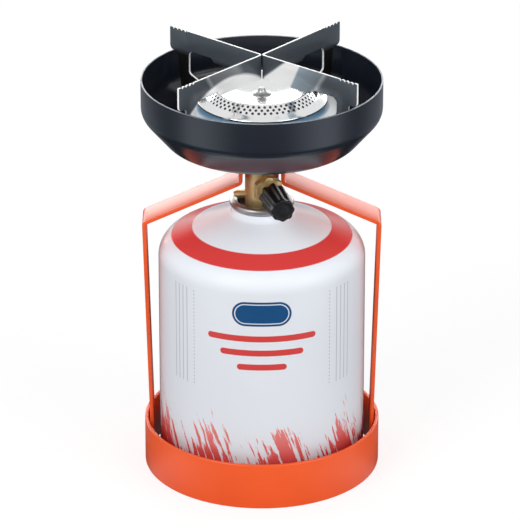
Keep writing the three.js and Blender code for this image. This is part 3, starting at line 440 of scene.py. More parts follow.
def slate_steel():
    """Slate-grey sheet, with painted reflections as bright zones beside the fold of the front arms, and
    painted shade at the back.
    """
    f = Finish("slate_steel", Specular_IOR_Level=0.3)
    rim_z = reach("windshield_bowl")[2] * MM
    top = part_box("pan_support_right")[1].z
    stripe_low = top - STRIPE_H
    radius = f.radius()
    backward = f.range(f.y, -0.002, 0.001)
    front = f.math("SUBTRACT", 1.0, backward)
    tint = f.ramp(f.noise(24, 3), (0.3, (0.080, 0.096, 0.114)), (0.7, (0.095, 0.112, 0.130)))
    # Painted shade: the back arms darker below the bowl's rim
    below_rim = f.range(f.z, rim_z + SHADE_ABOVE_RIM, rim_z - SHADE_FULL_BELOW)
    tint = f.blend(f.product(backward, below_rim), tint, (0.012, 0.011, 0.011))

    # Right arm: painted reflections, a slanted bright stripe and blue beyond it
    past_in = f.math("SUBTRACT", radius, f.range(f.z, stripe_low, top, 0.0, STRIPE_NEAR_R))
    past_out = f.math("SUBTRACT", radius, f.range(f.z, stripe_low, top, *STRIPE_FAR_R))
    right = f.product(f.range(past_in, 0.0, 0.002), front, f.range(f.x, -0.0005, 0.0005))
    tint = f.blend(f.product(right, f.range(past_out, 0.0, 0.02, 1.0, 0.0)), tint, (0.20, 0.30, 0.38))
    stripe = f.product(right, f.range(past_out, 0.0015, 0.0))

    # Left arm: a painted highlight, a bright zone under a flat arch
    aside = f.math("SUBTRACT", radius, ARCH_R)
    arch = f.math("MULTIPLY_ADD", f.product(aside, aside), ARCH_BEND, f.z)
    under_arch = f.range(arch, *[top - drop for drop in ARCH_DROPS])
    left = f.product(under_arch, f.range(f.x, 0.0005, -0.0005))

    # Both arms: a faint painted haze of reflected light, with a thin line at its end
    past_haze = f.math("SUBTRACT", radius, f.range(f.z, top - HAZE_H, top, 0.0, HAZE_NEAR_R))
    outward = f.range(past_haze, 0.0, HAZE_W)
    haze = f.ramp(outward, (0.0, 0.0), (0.05, 0.0), (0.2, 0.2), (0.84, 0.1), (0.90, 0.3), (0.98, 0.0))

    # Painted highlights: the sheet is near-white and less metallic where these zones lie
    painted_highlight = f.product(front, f.math("MAXIMUM", haze, f.math("MAXIMUM", left, stripe)))
    slate_share = f.math("SUBTRACT", 1.0, painted_highlight)
    f.feed("Base Color", f.blend(slate_share, (0.98, 0.98, 0.98), tint))
    f.feed("Metallic", f.range(slate_share, 0.0, 1.0, 0.1, 0.25))
    grain = f.noise(1.0, 4, f.stretched(900, 900, 60))
    f.feed("Roughness", f.math("MULTIPLY_ADD", slate_share, 0.16, f.range(grain, 0.2, 0.8, 0.06, 0.1)))
    f.relief(grain, 0.0000004, 0.1)
    return f.material


def mirror_steel():
    f = Finish("mirror_steel", Metallic=1.0)
    rings = f.rings(2600.0)
    f.feed("Base Color", f.ramp(f.noise(45, 2), (0.3, (0.92, 0.93, 0.94)), (0.7, (0.96, 0.96, 0.965))))
    f.feed("Roughness", f.range(rings, 0.2, 0.8, 0.13, 0.17))
    f.relief(rings, 0.000001, 0.2)
    return f.material


# Zones on the dish, in millimetres
HEATED_H = 4.6
WHITE_EDGE_W = (3.6, 1.2)
SIDE_REFLECTION_X = (31.0, 36.0)


def blued_steel():
    f = Finish("blued_steel", Metallic=0.1)
    outer_r, _, top = reach("burner_dish")
    rise = f.range(f.z, (top - HEATED_H) * MM, top * MM)
    drift = f.math("MULTIPLY_ADD", f.math("SUBTRACT", f.noise(30, 2), 0.5), 0.3, rise)
    heat = f.ramp(drift, (0.0, (0.90, 0.93, 0.96)), (0.2, (0.72, 0.82, 0.90)),
                  (0.5, (0.21, 0.42, 0.62)), (0.8, (0.13, 0.27, 0.43)), (1.0, (0.70, 0.80, 0.88)))
    # Whiter at the outer edge, and whiter at the left and right sides as a painted reflection
    outward = f.range(f.radius(), *[(outer_r - width) * MM for width in WHITE_EDGE_W], soft=True)
    aside = f.range(f.math("ABSOLUTE", f.x), *[x * MM for x in SIDE_REFLECTION_X], soft=True)
    f.feed("Base Color", f.blend(f.math("MAXIMUM", outward, aside), heat, (0.96, 0.98, 1.0)))
    rings = f.rings(2200.0)
    f.feed("Roughness", f.range(rings, 0.2, 0.8, 0.27, 0.33))
    f.relief(rings, 0.000001, 0.2)
    return f.material


def tinplate():
    f = Finish("tinplate", Metallic=1.0)
    f.feed("Base Color", f.ramp(f.noise(90, 3), (0.3, (0.32, 0.31, 0.30)), (0.7, (0.42, 0.41, 0.40))))
    rings = f.noise(1.0, 3, f.stretched(300, 300, 2600))
    f.feed("Roughness", f.range(rings, 0.3, 0.7, 0.34, 0.44))
    f.relief(rings, 0.000003, 0.3)
    return f.material


def brass():
    f = Finish("brass", Metallic=0.78)
    f.feed("Base Color", f.ramp(f.noise(120, 4), (0.25, (0.52, 0.37, 0.16)), (0.5, (0.66, 0.49, 0.23)),
                                (0.8, (0.78, 0.62, 0.34))))
    turned = f.noise(1.0, 3, f.stretched(120, 120, 3200))
    f.feed("Roughness", f.range(turned, 0.3, 0.7, 0.4, 0.52))
    f.relief(turned, 0.000012, 0.3)
    return f.material


# The cartridge's print: a plain red band, a blue panel with three bars under it, and brush streaks
BAND_LOW_Z = 128.9
BAND_HIGH_Z = 133.5
PANEL_Z = 107.5
PANEL_HALF_W = 15.5
PANEL_HALF_H = 6.8
PANEL_LINE_INSETS = (1.2, 1.7)
INK_BLUR = 0.12
BARS = ((93.5, 29.0), (85.5, 22.0), (77.5, 13.0))
BAR_HALF_H = 1.7
STREAK_LOBES = 9.0
STREAK_BASE_Z = 42.0
STREAK_SWING_Z = 8.0
STREAK_LEAN = 0.35
STREAK_SCALES = (0.42, 0.045)
STREAK_EDGE = (0.53, 0.56)
STREAK_THINNING_Z = (-8.0, 26.0)
STREAK_TIPS_Z = (-14.0, -8.0)
FADE_Z = (20.0, 52.0)
CAN_WHITE = (0.68, 0.71, 0.76)
DOME_PAINTED_LIGHT = 1.28
DOME_FROM_Z = (117.0, 128.0)
PRINT_RED = (0.60, 0.050, 0.047)
PRINT_PINK = (0.78, 0.30, 0.28)
PRINT_BLUE = (0.006, 0.066, 0.19)
PRINT_GREY = (0.12, 0.12, 0.13)
COLUMN_X = (38.0, 43.0, 46.0, 49.0, 52.0)
COLUMN_LOW_Z = 62.0
COLUMN_HIGH_Z = 116.0
RULE_HALF_W = 0.22
RULE_STRENGTH = 0.55
DOT_PITCH = 2.0


def printed_white():
    f = Finish("printed_white", Coat_Weight=0.1, Coat_Roughness=0.1, Specular_IOR_Level=0.35)
    can_r = reach("can_body")[0]
    angle = f.math("ARCTAN2", f.x, f.product(f.y, -1.0))
    across = f.product(angle, can_r)
    side = f.math("ABSOLUTE", across)
    height = f.math("DIVIDE", f.z, MM)

    def inside(value, half, centre=0.0):
        away = f.math("ABSOLUTE", f.math("SUBTRACT", value, centre))
        return f.range(away, half - INK_BLUR, half + INK_BLUR, 1.0, 0.0)

    def pill(half_w, half_h, centre_z):
        beyond = f.math("MAXIMUM", f.math("SUBTRACT", side, half_w - half_h), 0.0)
        away = f.far(beyond, f.math("SUBTRACT", height, centre_z))
        return f.range(away, half_h - INK_BLUR, half_h + INK_BLUR, 1.0, 0.0)

    red = inside(height, (BAND_HIGH_Z - BAND_LOW_Z) / 2, (BAND_HIGH_Z + BAND_LOW_Z) / 2)
    for bar_z, half_w in BARS:
        red = f.math("MAXIMUM", red, pill(half_w, BAR_HALF_H, bar_z))
    blue = pill(PANEL_HALF_W, PANEL_HALF_H, PANEL_Z)
    inner, line = [pill(PANEL_HALF_W - inset, PANEL_HALF_H - inset, PANEL_Z) for inset in PANEL_LINE_INSETS]

    column = inside(height, (COLUMN_HIGH_Z - COLUMN_LOW_Z) / 2, (COLUMN_HIGH_Z + COLUMN_LOW_Z) / 2)
    dots = f.range(f.math("PINGPONG", height, DOT_PITCH / 2), DOT_PITCH * 0.2, DOT_PITCH * 0.3)
    rules = f.product(inside(side, RULE_HALF_W, COLUMN_X[0]), dots)
    for column_x in COLUMN_X[1:]:
        rules = f.math("MAXIMUM", rules, inside(side, RULE_HALF_W, column_x))
    rules = f.product(rules, column, RULE_STRENGTH)

    wave = f.math("SINE", f.product(angle, STREAK_LOBES))
    below = f.math("SUBTRACT", f.math("MULTIPLY_ADD", wave, STREAK_SWING_Z, STREAK_BASE_Z), height)
    lean = f.math("MULTIPLY_ADD", height, STREAK_LEAN, across)
    scale_x, scale_y = STREAK_SCALES
    grain_at = f.node("ShaderNodeCombineXYZ", X=f.product(lean, scale_x), Y=f.product(height, scale_y))
    strands = f.noise(1.0, 5, grain_at.outputs[0], 0.62)
    depth = f.range(below, *STREAK_THINNING_Z, -0.16, 0.13)
    streaks = f.range(f.math("ADD", strands, depth), *STREAK_EDGE)
    streaks = f.product(streaks, f.range(below, *STREAK_TIPS_Z))
    fade = f.range(height, *FADE_Z)

    paper = f.ramp(f.noise(20, 2), (0.3, CAN_WHITE), (0.7, tuple(c + 0.015 for c in CAN_WHITE)))
    ink = f.blend(fade, PRINT_RED, PRINT_PINK)
    colour = f.blend(streaks, paper, ink)
    for mask, tint in ((rules, PRINT_GREY), (red, PRINT_RED), (blue, PRINT_BLUE), (inner, CAN_WHITE),
                       (line, PRINT_BLUE)):
        colour = f.blend(mask, colour, tint)
    # Painted light: the dome's colour made lighter, against the bowl's shade over it
    lift = f.range(height, *DOME_FROM_Z, 1.0, DOME_PAINTED_LIGHT, True)
    lifted = f.tree.nodes.new("ShaderNodeVectorMath")
    lifted.operation = "SCALE"
    f.put(lifted.inputs[0], colour)
    f.put(lifted.inputs["Scale"], lift)
    f.feed("Base Color", lifted.outputs[0])
    f.feed("Specular IOR Level", f.range(height, *DOME_FROM_Z, 0.35, 0.02, True))
    f.feed("Coat Weight", f.range(height, *DOME_FROM_Z, 0.1, 0.0, True))
    f.feed("Roughness", f.range(f.noise(350, 3), 0.2, 0.8, 0.24, 0.27))
    f.relief(f.noise(500, 2), 0.000002, 0.1)
    return f.material


ORANGE = orange_coat()
BLACK = black_coat()
# Bare cut edges of the sheets, near-white as a painted highlight
CUT_EDGE_HIGHLIGHT = speckled("cut_edge_painted_highlight", (500, 2), (0.90, 0.91, 0.92), (0.98, 0.98, 0.98), (900, 2), (0.3, 0.45),
                    Metallic=0.1)
RIM_FINISH = speckled("rim_edge", (300, 3), (0.20, 0.215, 0.235), (0.32, 0.34, 0.37), (900, 2), (0.3, 0.5),
                      Metallic=0.6)
SLATE = slate_steel()
MIRROR = mirror_steel()
# Near-black steel for the cap's inner face and port walls: painted shade in the ports
PORT_SHADE = speckled("port_shade_steel", (300, 3), (0.010, 0.010, 0.012), (0.035, 0.033, 0.032), (700, 2),
                (0.55, 0.75), Metallic=0.4)
BLUED = blued_steel()
# Rivet steel, made darker as a painted reflection of the dark arms above it
DARKENED_STEEL = speckled("dull_steel_painted_dark", (300, 3), (0.34, 0.34, 0.34), (0.50, 0.50, 0.49), (700, 3), (0.25, 0.4),
                (2200, 2, 0.000004, 0.3), Metallic=1.0)
TIN = tinplate()
BRASS = brass()
KNOB = speckled("knob_plastic", (300, 2), (0.008, 0.008, 0.009), (0.014, 0.014, 0.015), (700, 3),
                (0.3, 0.45), (2600, 3, 0.00003, 0.3), Specular_IOR_Level=0.26)
RUBBER = speckled("rubber", (400, 2), (0.012, 0.012, 0.012), (0.022, 0.022, 0.022), (900, 2), (0.6, 0.8),
                  (3000, 2, 0.00003, 0.4))
GREY = speckled("grey_plastic", (200, 2), (0.42, 0.43, 0.44), (0.48, 0.49, 0.50), (900, 2), (0.4, 0.55),
                (2600, 2, 0.00002, 0.3))
PRINTED = printed_white()

# CAD nodes that keep their shape
CAD_FINISHES = {
    "jet_nozzle": BRASS,
    "mixing_tube": BRASS,
    "tube_lock_nut": BRASS,
    "needle_spindle": BRASS,
    "lock_washer": TIN,
    "depressor_pin": TIN,
    "valve_stem": TIN,
    "inlet_seal": RUBBER,
    "gland_seal": RUBBER,
    "cup_gasket": RUBBER,
    "stem_gasket": RUBBER,
    "valve_housing": GREY,
}
for node_name, finish in CAD_FINISHES.items():
    for material_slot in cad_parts[node_name].material_slots:
        material_slot.material = finish


# Base ring
ring_r, ring_low, ring_high = reach("base_ring")
RING_T = 2.0
RING_EDGE = 0.55
ring = to_object("ring_coated", lathe(box_section(ring_r - RING_T, ring_r, ring_low, ring_high, RING_EDGE)))
dress(ring, "stove", "orange_enamel", ORANGE, stands_for=["base_ring"], sharp_deg=50)

# Frame strap: one strip with its bends, and the bridge hole
STRAP_T = 2.0
STRAP_W = 19.0
STRAP_FOOT_X = 58.45
STRAP_CORNER_Z = 139.3
NECK_X = 11.9
NECK_DROP = 9.35
STRAP_BEND = 3.2
STRAP_EDGE = 0.35
# What the corner's rounding takes off the strap's reach
CORNER_CUT = 0.05
TUBE_HOLE_R = 5.3
strap_x, strap_low, bridge_z = reach("frame_strap")
strap_half = [
    (STRAP_FOOT_X, strap_low),
    (strap_x + CORNER_CUT, STRAP_CORNER_Z, STRAP_BEND),
    (NECK_X, bridge_z - NECK_DROP, STRAP_BEND - STRAP_T),
    (NECK_X, bridge_z, STRAP_BEND),
]
strap_line = rounded(strap_half + [(-c[0], *c[1:]) for c in strap_half[::-1]])
strap = to_object("strap_coated", extrude(sheet_section(strap_line, STRAP_T), -STRAP_W / 2, STRAP_W / 2))
strap.data.transform(Z_TO_FRONT)
combine(strap, bar("bridge_hole", TUBE_HOLE_R, bridge_z - STRAP_W / 2, bridge_z + STRAP_T), "DIFFERENCE")
soften(strap, STRAP_EDGE, 3)
dress(strap, "stove", "orange_enamel", ORANGE, stands_for=["frame_strap"])

# Windshield bowl with a bare rim edge
BOWL_T = 0.9
BOWL_FLAT_R = 12.5
BOWL_HIP_INSET = 13.3
BOWL_HIP_RISE = 11.4
BOWL_WALL_RISE = 27.1
BOWL_BENDS = (3.0, 10.0, 8.0)
RIM_EDGE = 0.28
bowl_r, bowl_low, bowl_top = reach("windshield_bowl")
bowl_line = rounded([
    (TUBE_HOLE_R, bowl_low),
    (BOWL_FLAT_R, bowl_low, BOWL_BENDS[0]),
    (bowl_r - BOWL_HIP_INSET, bowl_low + BOWL_HIP_RISE, BOWL_BENDS[1]),
    (bowl_r, bowl_low + BOWL_WALL_RISE, BOWL_BENDS[2]),
    (bowl_r, bowl_top),
])
bowl = to_object("bowl_coated", lathe(sheet_section(bowl_line, BOWL_T)))
soften(bowl, RIM_EDGE, 3, 60)
for polygon in bowl.data.polygons:
    if polygon.center.z > (bowl_top - RIM_EDGE) * MM:
        polygon.material_index = 1
dress(bowl, "stove", "black_enamel", BLACK, RIM_FINISH, stands_for=["windshield_bowl"], sharp_deg=30)

# Burner dish
DISH_T = 0.8
DISH_HOLE_R = 5.1
DISH_FLOOR_R = 18.0
DISH_LIP_R = 32.8
DISH_FLARE_R = 34.4
DISH_FLARE_DROP = 3.5
DISH_DEPTH = 15.2
DISH_EDGE_DROP = 0.9
dish_r, dish_low, _ = reach("burner_dish")
dish_floor = dish_low + DISH_T / 2
dish_lip = dish_floor + DISH_DEPTH
dish_edge = dish_lip - DISH_FLARE_DROP - DISH_EDGE_DROP
dish_line = offset_line(rounded([
    (DISH_HOLE_R, dish_floor),
    (DISH_FLOOR_R, dish_floor, 3.0),
    (DISH_LIP_R, dish_lip, 0.7),
    (DISH_FLARE_R, dish_lip - DISH_FLARE_DROP, 1.6),
    (dish_r, dish_edge),
]), -DISH_T / 2)
dish = to_object("dish_blued", lathe(sheet_section(dish_line, DISH_T)))
soften(dish, 0.2, 2, 60)
dress(dish, "stove", "polished_steel", BLUED, stands_for=["burner_dish"], sharp_deg=30)

# Burner cap: a pierced band between its rim and its shallow crown
CAP_T = 0.7
CAP_RIM_W = 5.0
CAP_BAND_W = 4.3
CAP_BAND_H = 4.1
CAP_CENTRE_R = 6.0
CAP_DISHED = 3.5
CAP_HOLE_R = 1.6
PORT_COUNT = 56
PORT_R = 0.72
PORT_SIDES = 16
ROW_SHARES = (0.79, 0.49, 0.19)
ROW_HALF_SHARE = 0.15
cap_r, cap_low, cap_top = reach("burner_cap")
cap_foot_r = cap_r - CAP_RIM_W
cap_head_r = cap_foot_r - CAP_BAND_W
cap_foot_z = cap_top - CAP_BAND_H


def cap_sheet():
    """The cap's outer face: a lathed rim and crown round rows of round ports."""
    mesh = bmesh.new()
    slope = hypot(CAP_BAND_W, CAP_BAND_H)
    quarter = PORT_SIDES // 4
    around = PORT_COUNT * quarter
    edges = [(share - ROW_HALF_SHARE) * slope for share in ROW_SHARES[::-1]]
    edges.append((ROW_SHARES[0] + ROW_HALF_SHARE) * slope)

    def vert(turn, radius, height):
        angle = TURN * turn
        return mesh.verts.new((radius * sin(angle) * MM, -radius * cos(angle) * MM, height * MM))

    def band_vert(turn, along):
        return vert(turn, cap_foot_r - CAP_BAND_W * along / slope, cap_foot_z + CAP_BAND_H * along / slope)

    def ring_of(radius, height):
        return [vert(k / around, radius, height) for k in range(around)]

    def bridge(first, second):
        for k in range(around):
            n = (k + 1) % around
            mesh.faces.new((first[k], first[n], second[n], second[k]))

    levels = [[band_vert(k / around, along) for k in range(around)] for along in edges]
    for row in range(len(ROW_SHARES)):
        low, high = levels[row], levels[row + 1]
        shift = quarter // 2 * (row % 2)
        middle = (edges[row] + edges[row + 1]) / 2
        walls = []
        for cell in range(PORT_COUNT):
            turn = (cell * quarter + shift) / around
            walls.append([band_vert(turn, edges[row] + (edges[row + 1] - edges[row]) * s / quarter)
                          for s in range(1, quarter)])
        for cell in range(PORT_COUNT):
            start = cell * quarter + shift
            n = (cell + 1) % PORT_COUNT
            border = [low[(start + k) % around] for k in range(quarter + 1)]
            border += walls[n]
            border += [high[(start + k) % around] for k in range(quarter, -1, -1)]
            border += walls[cell][::-1]
            centre_turn = (start + quarter / 2) / around
            row_r = cap_foot_r - CAP_BAND_W * middle / slope
            hole = []
            for k in range(PORT_SIDES):
                angle = TURN * (k / PORT_SIDES) - pi * 3 / 4
                turn = centre_turn + PORT_R * cos(angle) / row_r / TURN
                hole.append(band_vert(turn, middle + PORT_R * sin(angle)))
            for k in range(PORT_SIDES):
                m = (k + 1) % PORT_SIDES
                mesh.faces.new((border[k], border[m], hole[m], hole[k]))
    rim = [
        (cap_r, cap_low),
        (cap_r, cap_low + 0.45),
        (cap_r - 0.12, cap_low + 0.75),
        (cap_r - 0.42, cap_low + 0.95),
        (cap_r - 1.6, cap_low + 1.22),
        (cap_foot_r + 1.2, cap_foot_z - 0.26),
        (cap_foot_r + 0.35, cap_foot_z - 0.02),
    ]
    rings = [ring_of(*point) for point in rim] + [levels[0]]
    for first, second in zip(rings, rings[1:]):
        bridge(first, second)
    crown = [
        (cap_head_r + 0.1, cap_top - 0.12),
        (cap_head_r - 0.4, cap_top - 0.02),
        (cap_head_r - 1.1, cap_top - 0.12),
        (cap_head_r - 3.0, cap_top - 0.52),
        (cap_head_r - 8.0, cap_top - 1.52),
        (cap_head_r - 14.0, cap_top - 2.78),
        (CAP_CENTRE_R + 1.2, cap_top - CAP_DISHED + 0.14),
        (CAP_CENTRE_R - 0.6, cap_top - CAP_DISHED),
        (CAP_HOLE_R, cap_top - CAP_DISHED),
    ]
    rings = [levels[-1]] + [ring_of(*point) for point in crown]
    for first, second in zip(rings, rings[1:]):
        bridge(first, second)
    bmesh.ops.recalc_face_normals(mesh, faces=mesh.faces)
    return mesh


cap = to_object("cap_pierced", cap_sheet())
# The inner face and port walls take the near-black steel, painted shade that keeps the ports dark
thicken(cap, CAP_T, -1.0, 1, MIRROR, PORT_SHADE)
for polygon in cap.data.polygons:
    if hypot(polygon.center.x, polygon.center.y) > (cap_r - CAP_T) * MM:
        polygon.material_index = 0
dress(cap, "stove", "polished_steel", MIRROR, PORT_SHADE, stands_for=["burner_cap"], sharp_deg=48)

# Rivet in the cap's middle
rivet_r, rivet_low, rivet_top = reach("cap_rivet")
RIVET_NECK_R = 1.5
RIVET_TAIL_R = 3.0
RIVET_TAIL_H = 0.9
rivet_seat = cap_top - CAP_DISHED + SEAT_GAP
rivet = to_object("rivet_turned", lathe(rounded([
    (0, rivet_low),
    (RIVET_TAIL_R, rivet_low, 0.3),
    (RIVET_TAIL_R, rivet_low + RIVET_TAIL_H),
    (RIVET_NECK_R, rivet_low + RIVET_TAIL_H),
    (RIVET_NECK_R, rivet_seat),
    (rivet_r, rivet_seat),
    (rivet_r, rivet_seat + 0.25, 0.15),
    (RIVET_NECK_R + 0.6, rivet_seat + 1.3, 2.2),
    (RIVET_NECK_R, rivet_top, 0.35),
    (0, rivet_top),
]), SMALL_STEPS, closed=False))
dress(rivet, "stove", "polished_steel", DARKENED_STEEL, stands_for=["cap_rivet"])

# Pan supports: each is one flat sheet with two arms, bent along its fold
SHEET_T = 1.1
FOLD_R = 1.8
FOLD_CUTS = 8
FOLD_SHIFT = 0.1
CUT_MERGE = 0.001
SUPPORT_OVERHANG = 0.9
TIP_GAP = 0.4
TIP_ROUND = 2.4
LEG_INSET = 4.5
LEG_TAPER = 2.8
LEG_W = 7.8
BAR_RISE = 2.4
BAR_STEP_H = 2.3
BAR_STEP_W = 2.2
WEB_DISH_GAP = 2.3
WEB_UNDER_GAP = 1.4
WEB_SLOPE_RISE = 3.4
WEB_FOOT_H = 6.5
WEB_IN_R = 10.9
FLOOR_GAP = 0.5
TOOTH_COUNT = 4
TOOTH_PITCH = 2.7
TOOTH_W = 1.5
TOOTH_DEPTH = 0.95
TOOTH_ROUND = 0.25
TOOTH_ROOT_ROUND = 0.2
FOOT_IN_R = 6.6
FOOT_OUT_R = 11.4
FOOT_W = 4.2
SHEET_EDGE = 0.18
ARMS_DEG = {"pan_support_left": (138.5, 228.5), "pan_support_right": (319.5, 410.5)}
support_top = reach("pan_support_right")[2]
support_r = bowl_r + SUPPORT_OVERHANG


def arm_outline():
    """One arm from the top of the fold, out along the teeth and back through the window."""
    floor_line = offset_line(bowl_line, BOWL_T + FLOOR_GAP)
    leg_out = bowl_r - LEG_INSET
    leg_in = leg_out - LEG_W
    leg_foot = leg_out - LEG_TAPER
    tip_z = bowl_top + TIP_GAP
    bar_z = bowl_top + BAR_RISE
    mid_z = bar_z - BAR_STEP_H
    step_r = leg_in * 2 / 3
    shoulder_r = dish_r + WEB_DISH_GAP
    shoulder_z = dish_edge + WEB_DISH_GAP
    belly_r = DISH_FLOOR_R + WEB_DISH_GAP * 2
    web_foot_z = height_at(floor_line, WEB_IN_R) + WEB_FOOT_H
    outline = [(0, support_top)]
    for i in range(TOOTH_COUNT, 0, -1):
        tooth = support_r - TOOTH_PITCH * i
        outline += [
            (tooth - TOOTH_W / 2, support_top, TOOTH_ROUND),
            (tooth, support_top - TOOTH_DEPTH, TOOTH_ROOT_ROUND),
            (tooth + TOOTH_W / 2, support_top, TOOTH_ROUND),
        ]
    outline += [
        (support_r, support_top, 0.3),
        (support_r, tip_z, TIP_ROUND),
        (leg_out, tip_z, TIP_ROUND / 2),
        (leg_foot, height_at(floor_line, leg_foot), 0.8),
    ]
    outline += [(p.x, p.y) for p in reversed(floor_line) if WEB_IN_R < p.x < leg_foot - 1]
    outline += [
        (WEB_IN_R, height_at(floor_line, WEB_IN_R)),
        (WEB_IN_R, web_foot_z, 1.0),
        (belly_r, height_at(dish_line, belly_r) - WEB_FOOT_H, 3.0),
        (shoulder_r - WEB_UNDER_GAP, shoulder_z - WEB_DISH_GAP - WEB_UNDER_GAP, 1.0),
        (shoulder_r, shoulder_z, 1.2),
        (leg_in, shoulder_z + WEB_SLOPE_RISE, 2.0),
        (leg_in, bar_z, 2.8),
        (step_r + BAR_STEP_W / 2, bar_z, 0.9),
        (step_r - BAR_STEP_W / 2, mid_z, 0.9),
        (0, mid_z),
    ]
    return rounded(outline, steps=4)


def bent_place(along, height, azimuth_a, azimuth_b):
    """Where a point of the flat sheet goes; along is negative on the first arm."""
    half = (azimuth_b - azimuth_a) / 2
    start = FOLD_R / tan(half)
    arc = FOLD_R * (pi - half * 2)
    middle = azimuth_a + half
    centre = heading(middle) * FOLD_R / sin(half)
    lift = Vector((0, 0, height))
    if abs(along) > arc / 2:
        azimuth = azimuth_b if along > 0 else azimuth_a
        return heading(azimuth) * (abs(along) - arc / 2 + start) + lift
    return centre + heading(middle + pi - along / FOLD_R) * FOLD_R + lift


def support_sheet(azimuth_a, azimuth_b):
    """The thin sheet of one support, cut across its fold and bent."""
    half = (azimuth_b - azimuth_a) / 2
    slack = FOLD_R * (pi / 2 - half) - FOLD_R / tan(half)
    arm = [(p[0] + slack if p[0] else 0, p[1]) for p in arm_outline()]
    loop = arm + [(-x, z) for x, z in arm[::-1] if x]
    mesh = bmesh.new()
    mesh.faces.new([mesh.verts.new((x, 0, z)) for x, z in loop])
    arc = FOLD_R * (pi - half * 2)
    for k in range(FOLD_CUTS + 1):
        cut = arc * (k / FOLD_CUTS - 0.5)
        bmesh.ops.bisect_plane(mesh, geom=mesh.verts[:] + mesh.edges[:] + mesh.faces[:],
                               plane_co=(cut, 0, 0), plane_no=(1, 0, 0))
    bmesh.ops.remove_doubles(mesh, verts=mesh.verts, dist=CUT_MERGE)
    bmesh.ops.triangulate(mesh, faces=[face for face in mesh.faces if len(face.verts) > 4])
    for vert in mesh.verts:
        vert.co = bent_place(vert.co.x, vert.co.z, azimuth_a, azimuth_b) * MM
    return mesh


for node_name, arms in ARMS_DEG.items():
    first, second = (radians(angle) for angle in arms)
    support = to_object(node_name + "_bent", support_sheet(first, second))
    thicken(support, SHEET_T, 0.0, 0, SLATE, CUT_EDGE_HIGHLIGHT)
    foot_z = bowl_low + BOWL_T + SEAT_GAP
    foot_near = -SHEET_T / 2
    foot_far = FOOT_W - SHEET_T / 2
    foot_outline = [(FOOT_IN_R, foot_near), (FOOT_OUT_R, foot_near)]
    foot_outline += [(FOOT_OUT_R, foot_far), (FOOT_IN_R, foot_far)]
    for azimuth in (first, second):
        foot = to_object("foot", extrude(foot_outline, foot_z, foot_z + SHEET_T))
        foot.data.transform(Matrix.Rotation(azimuth, 4, "Z"))
        combine(support, foot, "UNION")
    soften(support, SHEET_EDGE, 2, 60, 1)
    shift = FOLD_SHIFT * (-1 if node_name.endswith("left") else 1)
    support.data.transform(Matrix.Translation((shift * MM, 0, 0)))
    dress(support, "stove", "polished_steel", SLATE, CUT_EDGE_HIGHLIGHT, stands_for=[node_name], sharp_deg=30)


# Valve group along the control axis
KNOB_AZIMUTH_DEG = 15.5
CONTROL_Z = 158.9
control_turn = Matrix.Rotation(radians(KNOB_AZIMUTH_DEG), 4, "Z") @ Z_TO_FRONT
control_turn = Matrix.Translation((0, 0, CONTROL_Z * MM)) @ control_turn
VALVE_R = 8.75
VALVE_EDGE = 0.8
SOCKET_R = 5.05
SOCKET_DEPTH = 5.0
JET_SEAT_R = 2.65
JET_SEAT_Z = 161.95
GAS_WAY_R = 1.1
THREAD_BORE_R = 5.85
THREAD_BORE_TOP = 151.5
BOSS_R = 5.5
BOSS_END = 9.7
GLAND_BORE_R = 4.0
GLAND_BORE_FROM = 7.3
SPINDLE_BORE_R = 2.9
SEAT_AT = 2.4
_, valve_low, valve_high = reach("valve_body")
socket_z = valve_high - SOCKET_DEPTH


def rod(name, radius, start, end):
    """A round bar on the control axis."""
    piece = bar(name, radius, start, end)
    piece.data.transform(control_turn)
    return piece


valve = to_object("valve_turned", lathe([
    (THREAD_BORE_R, valve_low),
    (VALVE_R - VALVE_EDGE, valve_low),
    (VALVE_R, valve_low + VALVE_EDGE),
    (VALVE_R, valve_high - VALVE_EDGE),
    (VALVE_R - VALVE_EDGE, valve_high),
    (SOCKET_R, valve_high),
    (SOCKET_R, socket_z),
    (JET_SEAT_R, socket_z),
    (JET_SEAT_R, JET_SEAT_Z),
    (GAS_WAY_R, JET_SEAT_Z),
    (GAS_WAY_R, THREAD_BORE_TOP),
    (THREAD_BORE_R, THREAD_BORE_TOP),
]))
combine(valve, rod("boss", BOSS_R, VALVE_R / 2, BOSS_END), "UNION")
combine(valve, rod("spindle_bore", SPINDLE_BORE_R, SEAT_AT, BOSS_END * 2), "DIFFERENCE")
combine(valve, rod("gland_bore", GLAND_BORE_R, GLAND_BORE_FROM, BOSS_END * 2), "DIFFERENCE")
dress(valve, "stove", "brass", BRASS, stands_for=["valve_body"], sharp_deg=32)


def hex_shape(flats):
    """Keeps a turned blank within six flats."""
    def shape(angle, radius, height):
        off = (angle + pi / 6) % (pi / 3) - pi / 6
        return min(radius, flats / 2 / cos(off)) if radius > flats / 2 else radius
    return shape


